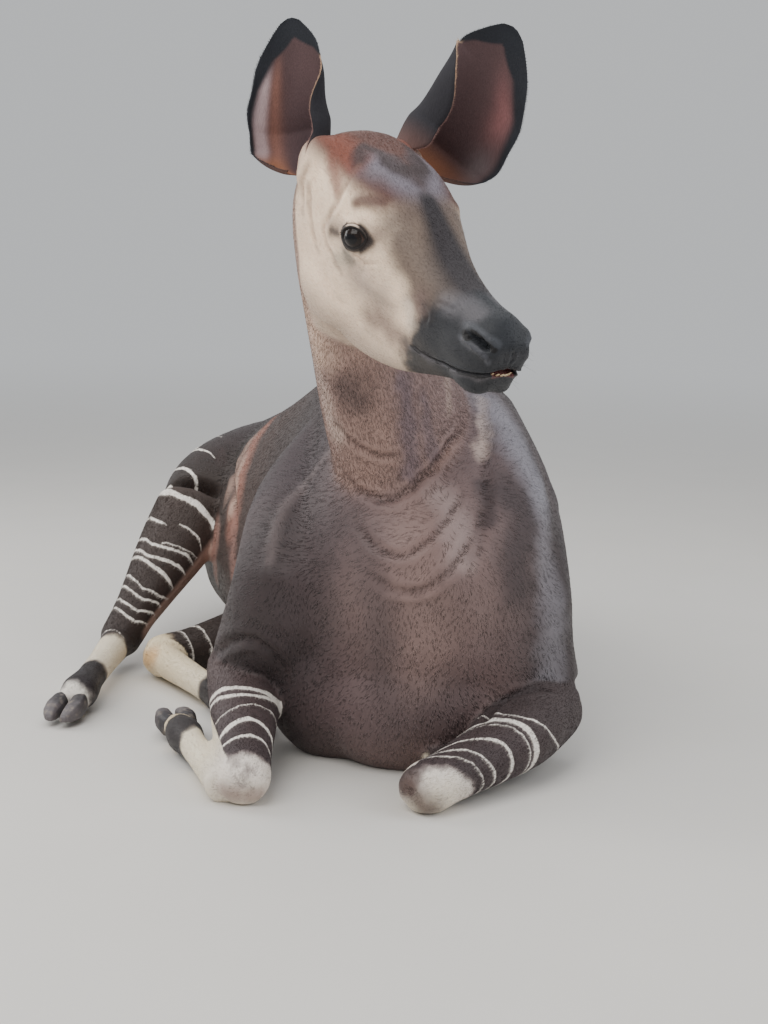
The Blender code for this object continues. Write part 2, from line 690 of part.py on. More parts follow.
def tail():
    """Thin dock down the rump, its tuft of flat locks lying on the floor."""
    dock = [TAIL_ROOT, TAIL_ROOT + Vector((0.004, 0.068, -0.055)), TAIL_ROOT + Vector((0.014, 0.112, -0.150)),
            TAIL_ROOT + Vector((0.040, 0.134, -0.245)), TAIL_ROOT + Vector((0.085, 0.150, -0.312)),
            TAIL_ROOT + Vector((0.145, 0.160, -0.328))]
    item = fuse("tail", [limb_form(dock, (0.034, 0.028, 0.022, 0.019, 0.017, 0.013),
                                   (0.030, 0.024, 0.020, 0.018, 0.016, 0.012), Vector((0.0, 1.0, 0.5)))],
                0.006, 2)
    thin_out(item, TRIANGLES["dock"])
    draw = random.Random(7)
    start, end = dock[3], dock[5]
    locks = []
    for index in range(TUFT_LOCKS):
        share = index / (TUFT_LOCKS - 1)
        spread = math.radians(draw.uniform(-28.0, 28.0))
        way = (end - dock[4]).normalized()
        way = Vector((way.x * math.cos(spread) - way.y * math.sin(spread),
                      way.x * math.sin(spread) + way.y * math.cos(spread), 0.0))
        root = start.lerp(dock[4], min(1.0, share * 2.0)).lerp(end, max(0.0, share * 2.0 - 1.0))
        root = root + UP * draw.uniform(-0.003, 0.004)
        length = draw.uniform(0.10, 0.14)
        locks.append(lock(root, way, length, draw.uniform(0.009, 0.013), 0.0040,
                          max(0.0, root.z - draw.uniform(0.006, 0.012))))
    for form in locks:
        before = item.data.copy()
        combine(item, [form], "UNION")
        if not is_closed(item.data):
            item.data = before
    return item


MATERIALS = {
    "coat": ((0.065, 0.042, 0.036), 0.62),
    "neck_coat": ((0.160, 0.110, 0.095), 0.62),
    "face_coat": ((0.520, 0.430, 0.360), 0.65),
    "leg_coat": ((0.045, 0.032, 0.028), 0.60),
    "pale_coat": ((0.600, 0.530, 0.400), 0.65),
    "ear_skin": ((0.110, 0.060, 0.048), 0.60),
    "eye": ((0.012, 0.008, 0.006), 0.08),
    "hoof": ((0.150, 0.120, 0.115), 0.50),
    "tooth": ((0.700, 0.620, 0.480), 0.30),
}

NODE_MATERIALS = (
    ("hoof", "hoof"), ("eye", "eye"), ("ear", "ear_skin"), ("incisors", "tooth"), ("head", "face_coat"),
    ("neck", "neck_coat"), ("torso", "coat"), ("tail", "coat"), ("cannon", "pale_coat"),
    ("forearm", "leg_coat"), ("gaskin", "leg_coat"),
)

WHOLE_BODY = 3600             # triangles before the neck and head are parted from the trunk
HEAD_AND_NECK = 5200
TRIANGLES = {"incisors": 260, "dock": 420, "forearm": 360, "cannon": 220, "gaskin": 360}


def triangle_target(name):
    for ending, count in TRIANGLES.items():
        if name.endswith(ending):
            return count
    return None


def paint(item):
    """Give a node its material and smooth shading."""
    key = next(value for word, value in NODE_MATERIALS if word in item.name)
    material = bpy.data.materials.get(key) or bpy.data.materials.new(key)
    colour, roughness = MATERIALS[key]
    material.use_nodes = True
    shader = material.node_tree.nodes["Principled BSDF"]
    shader.inputs["Base Color"].default_value = (*colour, 1.0)
    shader.inputs["Roughness"].default_value = roughness
    item.data.materials.clear()
    item.data.materials.append(material)
    item.data.shade_smooth()
    item.data.set_sharp_from_angle(angle=math.radians(50.0))


def carve(nodes, shapes, name, *others):
    """Cut a node clear of the uncut shapes of others, with the gap all round them."""
    combine(nodes[name], [grown(shapes[other]) for other in others])


def build():
    clear_scene()
    items = []
    torso = thin_out(fuse("torso", torso_forms() + neck_forms() + head_forms(), 0.010, 8), WHOLE_BODY)
    neck = split_at(torso, "neck", neck_cut())
    head = thin_out(fuse("head", head_forms() + neck_forms() + lid_forms(), 0.0050, 9), HEAD_AND_NECK)
    combine(neck, [head_block(0.0)])
    combine(head, [head_block(GAP)], "INTERSECT")
    items += [torso, neck, head]
    items += fore_leg("fore_right", ELBOW_RIGHT, CARPUS_RIGHT, FORE_FETLOCK_RIGHT, FORE_TOE_RIGHT,
                      Vector((-0.005, -0.030, -0.008)), Vector((-0.292, -0.630, 0.030)),
                      Vector((0.0, 0.0, 0.0)))
    items += fore_leg("fore_left", ELBOW_LEFT, CARPUS_LEFT, FORE_FETLOCK_LEFT, FORE_TOE_LEFT,
                      Vector((-0.026, -0.020, -0.008)), Vector((0.060, -0.650, 0.030)),
                      Vector((-0.004, -0.042, -0.006)))
    items += hind_leg("hind_right", STIFLE_RIGHT, HOCK_RIGHT, HIND_FETLOCK_RIGHT, HIND_TOE_RIGHT)
    items += hind_leg("hind_left", STIFLE_LEFT, HOCK_LEFT, HIND_FETLOCK_LEFT, HIND_TOE_LEFT)
    items += [ear("ear_right", *EAR_RIGHT), ear("ear_left", *EAR_LEFT), incisors(), tail()]
    for name, side in (("eye_right", -1.0), ("eye_left", 1.0)):
        items.append(link_mesh(name, ball(eye_centre(side), (EYE_RADIUS,) * 3)))
    nodes = {item.name: item for item in items}
    for item in items:
        target = triangle_target(item.name)
        if target:
            thin_out(item, target)
    shapes = {item.name: item.data.copy() for item in items}

    # each leg's lengths against each other
    for tag, upper in (("fore_right", "_forearm"), ("fore_left", "_forearm"),
                       ("hind_right", "_gaskin"), ("hind_left", "_gaskin")):
        carve(nodes, shapes, tag + "_cannon", tag + "_hoof_a", tag + "_hoof_b", tag + upper)
    carve(nodes, shapes, "fore_right_forearm", "hind_left_hoof_a", "hind_left_hoof_b", "hind_left_cannon")
    carve(nodes, shapes, "fore_left_forearm", "fore_left_cannon")

    # the head: lid slits first, so that no eyeball is shut in, then eyes, ears, mouth and nostrils
    combine(nodes["head"], [slit_cutter(-1.0), slit_cutter(1.0)])
    carve(nodes, shapes, "head", "eye_right", "eye_left", "ear_right", "ear_left")
    carve(nodes, shapes, "neck", "ear_right", "ear_left")
    combine(nodes["head"], [lip_gap()])
    for side in (-1.0, 1.0):
        combine(nodes["head"], [groove(MOUTH_LINE, side, (0.0016, 0.0022, 0.0026, 0.0030, 0.0034, 0.0034)),
                                groove(NOSTRIL_LINE, side, (0.0030, 0.0055, 0.0065, 0.0045))])
    carve(nodes, shapes, "head", "incisors")

    # the torso round all that lies against it
    for name in nodes:
        if name.startswith(("fore", "hind", "tail")):
            carve(nodes, shapes, "torso", name)
    for name in nodes:
        if not name.startswith(("head", "neck", "ear", "eye", "incisors", "tail")):
            combine(nodes[name], [floor_block()])

    corners = [vert.co for item in items for vert in item.data.vertices]
    middle = Vector(((min(c.x for c in corners) + max(c.x for c in corners)) / 2,
                     (min(c.y for c in corners) + max(c.y for c in corners)) / 2, 0.0))
    for item in items:
        item.data.transform(Matrix.Translation(-middle))
        paint(item)
    return middle


ORIGIN = build()
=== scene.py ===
import math
from contextlib import contextmanager

import bmesh
import bpy
import numpy as np
from mathutils import Matrix, Vector
from mathutils.bvhtree import BVHTree
from mathutils.kdtree import KDTree


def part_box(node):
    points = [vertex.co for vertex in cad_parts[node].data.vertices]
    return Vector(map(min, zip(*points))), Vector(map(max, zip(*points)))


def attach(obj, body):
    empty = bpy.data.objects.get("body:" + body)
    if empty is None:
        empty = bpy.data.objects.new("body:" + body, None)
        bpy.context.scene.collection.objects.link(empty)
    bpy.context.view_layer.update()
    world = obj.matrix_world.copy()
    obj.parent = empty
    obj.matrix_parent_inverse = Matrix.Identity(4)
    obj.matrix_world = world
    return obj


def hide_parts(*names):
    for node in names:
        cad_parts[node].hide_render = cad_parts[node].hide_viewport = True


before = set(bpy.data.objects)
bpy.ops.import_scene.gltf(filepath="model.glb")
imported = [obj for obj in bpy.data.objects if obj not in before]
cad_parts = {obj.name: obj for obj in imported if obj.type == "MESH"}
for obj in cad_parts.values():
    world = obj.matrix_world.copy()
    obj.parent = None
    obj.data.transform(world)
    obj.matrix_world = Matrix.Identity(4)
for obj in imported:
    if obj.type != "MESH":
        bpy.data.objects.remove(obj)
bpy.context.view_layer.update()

# Places in the animal's own frame: it faces -Y and its right side is -X
HEAD_PLACE = np.array((-0.114, -0.659, 1.013))   # inside the occiput
HEAD_PITCH = math.radians(30.0)
EYE_ALONG = 0.172
EYE_ABOVE = 0.004
EYE_SLANT = math.radians(22.0)
EYE_FORWARD = 0.42

# The photo's camera
CAMERA_PLACE = (-0.440, -3.493, 1.000)
CAMERA_TURN = math.radians(8.0)
CAMERA_PITCH = math.radians(10.1)
CAMERA_ROLL = math.radians(1.26)
FOCAL_PIXELS = 1820.0
PHOTO_HEIGHT = 1024.0

# The skin
VOXEL = 0.006
SKIN_SMOOTHING = 10
COAT_DEPTH = 0.0015
SEAM_SWELL = 0.0008      # what the flesh nodes swell by, so that they fuse
SKIN_LIFT = 0.0005       # least height over the floor
HAUNCH_REACH = 0.20
LID_THICKNESS = 0.0045
JAW_FILLING = (0.452, 0.0, -0.0265)
JAW_FILLING_RADII = (0.027, 0.027, 0.011)
FORE_CORONET = 0.52      # share of the way from fetlock to toe
HIND_CORONET = 0.42
PASTERN_WIDTHS = (0.031, 0.029, 0.032, 0.028)
PASTERN_HEIGHTS = (0.029, 0.026, 0.023, 0.019)

LEGS = {
    "fore_right": ((-0.235, -0.27, 0.135), (-0.262, -0.632, 0.041), (-0.348, -0.368, 0.036),
                   (-0.368, -0.215, 0.03)),
    "fore_left": ((0.293, -0.42, 0.1), (0.03, -0.697, 0.041), (0.105, -0.42, 0.034),
                  (0.13, -0.285, 0.024)),
    "hind_right": ((-0.3, 0.455, 0.3), (-0.468, 0.235, 0.06), (-0.54, -0.085, 0.04),
                   (-0.578, -0.185, 0.017)),
    "hind_left": ((-0.06, 0.3, 0.08), (-0.385, 0.15, 0.045), (-0.262, -0.15, 0.036),
                  (-0.222, -0.265, 0.018)),
}
HIP_RIGHT = ((-0.06, 0.69, 0.345), (-0.14, 0.62, 0.35), (-0.245, 0.54, 0.335))
TAIL_LINE = ((-0.085, 0.78, 0.35), (-0.081, 0.848, 0.295), (-0.071, 0.892, 0.2), (-0.045, 0.914, 0.105),
             (0.0, 0.93, 0.038), (0.06, 0.94, 0.022))
TAIL_RADII = (0.030, 0.026, 0.020, 0.017, 0.014, 0.010)
NECK_LINE = ((0.085, -0.18, 0.42), (0.07, -0.3, 0.47), (0.03, -0.4, 0.555), (-0.018, -0.48, 0.66),
             (-0.064, -0.55, 0.78), (-0.103, -0.6, 0.89), (-0.118, -0.64, 0.98))


def middle_of(node):
    low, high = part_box(node)
    return np.array((low + high) / 2)


def unit(vector):
    return vector / np.linalg.norm(vector)


EYE_RIGHT = middle_of("eye_right")
EYE_LEFT = middle_of("eye_left")
EYE_RADIUS = (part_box("eye_right")[1].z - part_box("eye_right")[0].z) / 2
HEAD_L = unit(EYE_LEFT - EYE_RIGHT)
HEAD_F = np.array((HEAD_L[1] * math.cos(HEAD_PITCH), -HEAD_L[0] * math.cos(HEAD_PITCH),
                   -math.sin(HEAD_PITCH)))
HEAD_U = np.cross(HEAD_F, HEAD_L)
HEAD_O = (EYE_LEFT + EYE_RIGHT) / 2 - HEAD_F * EYE_ALONG - HEAD_U * EYE_ABOVE
HEAD_AXES = np.stack((HEAD_F, HEAD_L, HEAD_U))
SHIFT = HEAD_O - HEAD_PLACE      # from the animal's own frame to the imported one
EYES = ((-1.0, EYE_RIGHT), (1.0, EYE_LEFT))


def body(points):
    """Packed places of points in the animal's own frame."""
    return np.atleast_2d(np.array(points, float)) + SHIFT


def head(points, side=1.0):
    """Packed places of head-frame points: along, to the left, up; side -1 mirrors them."""
    p = np.atleast_2d(np.array(points, float))
    return HEAD_O + p[:, :1] * HEAD_F + side * p[:, 1:2] * HEAD_L + p[:, 2:3] * HEAD_U


def in_head(points):
    """Head-frame numbers of packed places."""
    return (points - HEAD_O) @ HEAD_AXES.T


def srgb(red, green, blue):
    """Linear colour of an 8-bit screen colour."""
    value = np.array((red, green, blue)) / 255.0
    return np.where(value <= 0.04045, value / 12.92, ((value + 0.055) / 1.055) ** 2.4)


def smoothstep(low, high, value):
    t = np.clip((value - low) / (high - low), 0.0, 1.0)
    return t * t * (3.0 - 2.0 * t)


def ripple(points, size, seed):
    """Smooth irregular waves of about this size, from -1 to 1."""
    draw = np.random.default_rng(seed)
    total = np.zeros(len(points))
    for _ in range(7):
        way = unit(draw.normal(size=3)) * 2 * math.pi / (size * draw.uniform(0.7, 1.6))
        total += np.sin(points @ way + draw.uniform(0.0, 2 * math.pi))
    return np.clip(total / 3.2, -1.0, 1.0)


def smooth_line(points, steps=6):
    """Catmull-Rom line through the points."""
    p = np.array(points, float)
    p = np.vstack((2 * p[0] - p[1], p, 2 * p[-1] - p[-2]))
    line = []
    for a, b, c, d in zip(p, p[1:], p[2:], p[3:]):
        for t in np.arange(steps) / steps:
            line.append(0.5 * (2 * b + (c - a) * t + (2 * a - 5 * b + 4 * c - d) * t ** 2
                               + (3 * b - a - 3 * c + d) * t ** 3))
    line.append(p[-2])
    return np.array(line)


def curve_at(places, values, x):
    """Smooth curve through (places, values), read at x."""
    places = np.array(places, float)
    values = np.array(values, float)
    slopes = np.gradient(values, places)
    index = np.clip(np.searchsorted(places, x) - 1, 0, len(places) - 2)
    width = places[index + 1] - places[index]
    t = (x - places[index]) / width
    return ((2 * t ** 3 - 3 * t ** 2 + 1) * values[index] + (t ** 3 - 2 * t ** 2 + t) * width * slopes[index]
            + (-2 * t ** 3 + 3 * t ** 2) * values[index + 1] + (t ** 3 - t ** 2) * width * slopes[index + 1])


def unit_rows(vectors):
    return vectors / np.maximum(np.linalg.norm(vectors, axis=-1, keepdims=True), 1e-6)


def nearest_on(line, points):
    """Nearest place on a line for each point: length along it, distance from it, and which stretch."""
    best = np.full(len(points), np.inf)
    along = np.zeros(len(points))
    stretch = np.zeros(len(points), int)
    gone = 0.0
    for index, (start, end) in enumerate(zip(line, line[1:])):
        length = np.linalg.norm(end - start)
        way = (end - start) / max(length, 1e-9)
        t = np.clip((points - start) @ way, 0.0, length)
        distance = np.linalg.norm(points - start - t[:, None] * way, axis=1)
        nearer = distance < best
        best[nearer] = distance[nearer]
        along[nearer] = gone + t[nearer]
        stretch[nearer] = index
        gone += length
    return along, best, stretch


def near_line(points, line, reach, snap=0.0):
    """Points near a line: their indices, distances from it, and share of its length.

    With snap, the line is first laid on the nearest points, if they are within that distance.
    """
    wide = reach + snap
    inside = np.all((points > line.min(0) - wide) & (points < line.max(0) + wide), axis=1)
    pick = np.nonzero(inside)[0]
    spots = points[pick]
    if snap and len(pick):
        nearest = np.array([np.argmin(((spots - place) ** 2).sum(1)) for place in line])
        laid = spots[nearest]
        close = np.linalg.norm(laid - line, axis=1) < snap
        line = np.where(close[:, None], laid, line)
    along, distance, _ = nearest_on(line, spots)
    return pick, distance, along / np.linalg.norm(np.diff(line, axis=0), axis=1).sum()


def limb_frame(points, line):
    """Length along a bent axis, angle round it from the top, and distance from it."""
    along, distance, stretch = nearest_on(line, points)
    ways = unit_rows(np.diff(line, axis=0))
    ups = unit_rows(np.array((0.0, 0.0, 1.0)) - ways * ways[:, 2:3])
    sides = np.cross(ways, ups)
    off = points - line[stretch]
    angle = np.arctan2((off * sides[stretch]).sum(1), (off * ups[stretch]).sum(1))
    return along, angle, distance


# Meshes
def link(name, data):
    item = bpy.data.objects.new(name, data)
    bpy.context.scene.collection.objects.link(item)
    return item


def finish_piece(item, material, nodes=()):
    """Give a piece its material, ride it on the one body, and let it stand for nodes."""
    item.data.materials.append(material)
    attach(item, "root")
    if nodes:
        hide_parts(*nodes)


@contextmanager
def editing(mesh):
    """The mesh as a bmesh, written back afterwards."""
    work = bmesh.new()
    work.from_mesh(mesh)
    work.verts.ensure_lookup_table()
    yield work
    work.to_mesh(mesh)
    work.free()


def mesh_from(name, points, faces):
    mesh = bpy.data.meshes.new(name)
    mesh.from_pydata(points, [], faces)
    mesh.update()
    return mesh


def points_of(mesh):
    flat = np.empty(len(mesh.vertices) * 3, np.float32)
    mesh.vertices.foreach_get("co", flat)
    return flat.reshape(-1, 3).astype(float)


def set_points(mesh, points):
    mesh.vertices.foreach_set("co", points.astype(np.float32).ravel())
    mesh.update()


def normals_of(mesh):
    flat = np.empty(len(mesh.vertices) * 3, np.float32)
    mesh.vertex_normals.foreach_get("vector", flat)
    return flat.reshape(-1, 3).astype(float)


def edges_of(mesh):
    flat = np.empty(len(mesh.edges) * 2, np.int32)
    mesh.edges.foreach_get("vertices", flat)
    return flat.reshape(-1, 2)


def spread_values(values, edges, rounds):
    """Even out values over neighbouring points."""
    values = values.copy()
    size = len(values)
    ends = edges.T.ravel()
    others = edges[:, ::-1].T.ravel()
    count = np.bincount(ends, minlength=size)
    for _ in range(rounds):
        for column in values.T:
            column[:] = 0.5 * column + 0.5 * np.bincount(ends, column[others], size) / count
    return values


def set_colour(mesh, name, colours):
    layer = mesh.attributes.new(name, "FLOAT_COLOR", "POINT")
    rgba = np.ones((len(colours), 4), np.float32)
    rgba[:, :3] = colours
    layer.data.foreach_set("color", rgba.ravel())


def set_value(mesh, name, values):
    layer = mesh.attributes.new(name, "FLOAT", "POINT")
    layer.data.foreach_set("value", values.astype(np.float32))


def set_vector(mesh, name, vectors):
    layer = mesh.attributes.new(name, "FLOAT_VECTOR", "POINT")
    layer.data.foreach_set("vector", vectors.astype(np.float32).ravel())


def ring_faces(rings, sides, first=0, close_ends=True):
    """Faces of a tube of rings, each of this many points."""
    faces = []
    for ring in range(rings - 1):
        a = first + ring * sides
        for step in range(sides):
            after = (step + 1) % sides
            faces.append((a + step, a + after, a + sides + after, a + sides + step))
    if close_ends:
        faces.append(tuple(range(first + sides - 1, first - 1, -1)))
        faces.append(tuple(range(first + (rings - 1) * sides, first + rings * sides)))
    return faces


def tube_mesh(name, line, widths, heights, top=(0.0, 0.0, 1.0), sides=24):
    """A closed round tube along a line, its half widths and half heights given for each point."""
    line = np.array(line, float)
    ways = np.gradient(line, axis=0)
    turns = 2 * np.pi * np.arange(sides) / sides
    points = []
    for place, way, width, height in zip(line, ways, widths, heights):
        way = unit(way)
        up = unit(np.array(top) - way * (np.array(top) @ way))
        side = np.cross(way, up)
        points.append(place + np.outer(np.cos(turns) * width, side) + np.outer(np.sin(turns) * height, up))
    return mesh_from(name, np.vstack(points), ring_faces(len(line), sides))


def ball_mesh(centre, radii, axes=np.eye(3)):
    ball = bmesh.new()
    bmesh.ops.create_icosphere(ball, subdivisions=4, radius=1.0)
    mesh = bpy.data.meshes.new("ball")
    ball.to_mesh(mesh)
    ball.free()
    set_points(mesh, centre + (points_of(mesh) * radii) @ axes)
    return mesh


def node_mesh(name, swell=0.0):
    """A CAD node's mesh with its seams welded, swollen by a little."""
    work = bmesh.new()
    work.from_mesh(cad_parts[name].data)
    bmesh.ops.remove_doubles(work, verts=work.verts, dist=1e-5)
    work.normal_update()
    for vert in work.verts:
        vert.co += vert.normal * swell
    mesh = bpy.data.meshes.new(name + "_copy")
    work.to_mesh(mesh)
    work.free()
    return mesh


def melt(name, meshes, voxel, rounds):
    """Fuse meshes into one closed surface and smooth it."""
    work = bmesh.new()
    for mesh in meshes:
        work.from_mesh(mesh)
        bpy.data.meshes.remove(mesh)
    joined = bpy.data.meshes.new(name)
    work.to_mesh(joined)
    work.free()
    item = link(name, joined)
    remesh = item.modifiers.new("remesh", "REMESH")
    remesh.mode = "VOXEL"
    remesh.voxel_size = voxel
    soften = item.modifiers.new("soften", "SMOOTH")
    soften.factor = 0.5
    soften.iterations = rounds
    graph = bpy.context.evaluated_depsgraph_get()
    mesh = bpy.data.meshes.new_from_object(item.evaluated_get(graph))
    item.modifiers.clear()
    item.data = mesh
    bpy.data.meshes.remove(joined)
    mesh.name = name
    keep_largest(mesh)
    return item


def keep_largest(mesh):
    """Drop every closed surface but the one with most points."""
    edges = edges_of(mesh)
    label = np.arange(len(mesh.vertices))
    while True:
        low = np.minimum(label[edges[:, 0]], label[edges[:, 1]])
        new = label.copy()
        np.minimum.at(new, edges[:, 0], low)
        np.minimum.at(new, edges[:, 1], low)
        new = new[new]
        if np.array_equal(new, label):
            break
        label = new
    names, counts = np.unique(label, return_counts=True)
    if len(names) == 1:
        return
    drop = np.nonzero(label != names[np.argmax(counts)])[0]
    with editing(mesh) as work:
        bmesh.ops.delete(work, geom=[work.verts[i] for i in drop], context="VERTS")


def refine(mesh, chosen):
    """Split the faces whose corners are all chosen into four."""
    with editing(mesh) as work:
        edges = [edge for edge in work.edges if chosen[edge.verts[0].index] and chosen[edge.verts[1].index]]
        bmesh.ops.subdivide_edges(work, edges=edges, cuts=1, use_grid_fill=True, smooth=1.0)


# Skin
def skin_parts():
    """The flesh nodes, and fillings where they are open for eyes, teeth and hooves."""
    flesh = ["torso", "neck", "head"]
    for leg in LEGS:
        flesh += [leg + ("_forearm" if leg.startswith("fore") else "_gaskin"), leg + "_cannon"]
    meshes = [node_mesh(name, SEAM_SWELL) for name in flesh]
    for _, eye in EYES:
        meshes.append(ball_mesh(eye, (EYE_RADIUS + LID_THICKNESS,) * 3))
    meshes.append(ball_mesh(head(JAW_FILLING)[0], JAW_FILLING_RADII, HEAD_AXES))
    for leg, places in LEGS.items():
        fetlock, toe = body(places)[2:]
        coronet = fetlock + (toe - fetlock) * (FORE_CORONET if leg.startswith("fore") else HIND_CORONET)
        line = [fetlock, fetlock + (coronet - fetlock) * 0.6, coronet, coronet + (toe - coronet) * 0.10]
        meshes.append(tube_mesh("pastern", line, PASTERN_WIDTHS, PASTERN_HEIGHTS))
    tail = smooth_line(body(TAIL_LINE), 4)
    radii = smooth_line(np.array(TAIL_RADII)[:, None], 4)[:, 0]
    meshes.append(tube_mesh("dock", tail, radii, radii, top=(0.0, 1.0, 0.5)))
    return flesh, meshes


def make_skin():
    """The one skin over all flesh, finer where stripes and the face need it, then shaped."""
    flesh, meshes = skin_parts()
    item = melt("skin", meshes, VOXEL, SKIN_SMOOTHING)
    mesh = item.data
    points = points_of(mesh)
    owner = nearest_node(points, flesh)
    fine = np.array([name.endswith(("forearm", "gaskin", "head")) for name in flesh])[owner]
    pick, distance, _ = near_line(points, body(HIP_RIGHT + LEGS["hind_right"][:1]), HAUNCH_REACH)
    fine[pick[distance < HAUNCH_REACH]] = True
    refine(mesh, fine)
    points = points_of(mesh)
    refine(mesh, on_muzzle(points, 0.330) | near_eyes(points, 0.042, 1.0))
    points = points_of(mesh)
    fine = near_eyes(points, 0.040, 0.013)
    fine |= on_muzzle(points, 0.476) & (np.abs(in_head(points)[:, 1]) < 0.03)
    for side, _ in EYES:
        for line, reach in ((MOUTH_LINE, 0.008), (NOSTRIL_LINE, 0.013)):
            pick, distance, _ = near_line(points, smooth_line(head(line, side)), reach, snap=0.014)
            fine[pick[distance < reach]] = True
    refine(mesh, fine)
    settle_skin(mesh)
    shape_skin(mesh)
    return item, flesh


def on_muzzle(points, along):
    h = in_head(points)
    return (h[:, 0] > along) & (np.abs(h[:, 1]) < 0.09) & (np.abs(h[:, 2] + 0.03) < 0.13)


def near_eyes(points, reach, gap):
    """Points within reach of an eye's middle and less than a gap outside its lids' opening."""
    near = np.zeros(len(points), bool)
    for side, eye in EYES:
        near |= (np.linalg.norm(points - eye, axis=1) < reach) & (lid_gap(points, side, eye) < gap)
    return near


def settle_skin(mesh):
    """Draw the skin in by the coat's depth, except where it lies on the floor."""
    points = points_of(mesh)
    normals = normals_of(mesh)
    pressed = smoothstep(-0.70, -0.95, normals[:, 2]) * smoothstep(0.012, 0.004, points[:, 2])
    points -= normals * (COAT_DEPTH * (1.0 - pressed))[:, None]
    set_points(mesh, off_floor(points, SKIN_LIFT))


def off_floor(points, lift):
    points[:, 2] = np.maximum(points[:, 2], lift)
    return points


# Folds, lids, mouth and nostrils. Head lines are along, outward, up, and lie on both sides.
HEAD_FOLDS = (
    # line, depth, half width, height of the ridges beside it
    (((0.107, 0.07, 0.082), (0.1225, 0.091, 0.052), (0.1165, 0.0965, 0.004), (0.105, 0.0925, -0.023),
     (0.124, 0.087, -0.045), (0.162, 0.079, -0.0665)), 0.0018, 0.0044, 0.0008),
    (((0.044, 0.096, 0.013), (0.058, 0.093, -0.016), (0.079, 0.086, -0.053), (0.098, 0.085, -0.067)),
     0.0026, 0.006, 0.0009),
    (((0.03, 0.09, 0.04), (0.028, 0.094, 0.005), (0.036, 0.092, -0.04)), 0.0018, 0.006, 0.0008),
    (((0.314, 0.056, -0.019), (0.331, 0.054, -0.016), (0.344, 0.0525, -0.022), (0.344, 0.052, -0.037)),
     0.0015, 0.0032, 0.0007),
    (((0.345, 0.05, 0.004), (0.362, 0.047, 0.01), (0.384, 0.043, 0.014)), 0.0014, 0.003, 0.0006),
    (((0.176, 0.099, -0.02), (0.198, 0.094, -0.024), (0.217, 0.083, -0.018), (0.232, 0.073, -0.006)),
     0.0018, 0.0028, 0.001),
    (((0.214, 0.082, 0.026), (0.232, 0.071, 0.018), (0.25, 0.062, 0.008)), 0.0014, 0.0032, 0.0008),
    (((0.205, 0.086, -0.04), (0.245, 0.072, -0.044), (0.29, 0.059, -0.047)), -0.0024, 0.0085, 0.0),
    (((0.132, 0.096, 0.044), (0.156, 0.091, 0.053), (0.182, 0.078, 0.06), (0.203, 0.062, 0.06)), -0.003,
     0.0075, 0.0),
    (((0.118, 0.08, -0.09), (0.15, 0.072, -0.118), (0.19, 0.062, -0.112)), 0.0018, 0.007, 0.0008),
    (((0.2, 0.05, -0.128), (0.25, 0.044, -0.118), (0.305, 0.04, -0.112)), -0.002, 0.009, 0.0),
    (((0.412, 0.044, 0.013), (0.434, 0.046, 0.021), (0.456, 0.041, 0.023), (0.474, 0.03, 0.019)), -0.0026,
     0.005, 0.0),
    (((0.416, 0.047, -0.008), (0.44, 0.049, -0.005), (0.46, 0.044, -0.006), (0.477, 0.032, -0.01)), -0.002,
     0.0034, 0.0),
    (((0.486, 0.0, 0.012), (0.493, 0.0, -0.006), (0.493, 0.0, -0.02)), 0.001, 0.0022, 0.0006),
)
MOUTH_LINE = ((0.325, 0.05, -0.084), (0.369, 0.048, -0.08), (0.416, 0.048, -0.061),
              (0.452, 0.044, -0.045), (0.478, 0.03, -0.031), (0.492, 0.01, -0.025),
              (0.493, -0.01, -0.025))
NOSTRIL_LINE = ((0.418, 0.047, 0.002), (0.44, 0.048, 0.008), (0.458, 0.044, 0.009), (0.474, 0.034, 0.007))
MOUTH_GROOVE = (0.0046, 0.0019, 0.0012)
NOSTRIL_GROOVE = (0.0130, 0.0042, 0.0016)
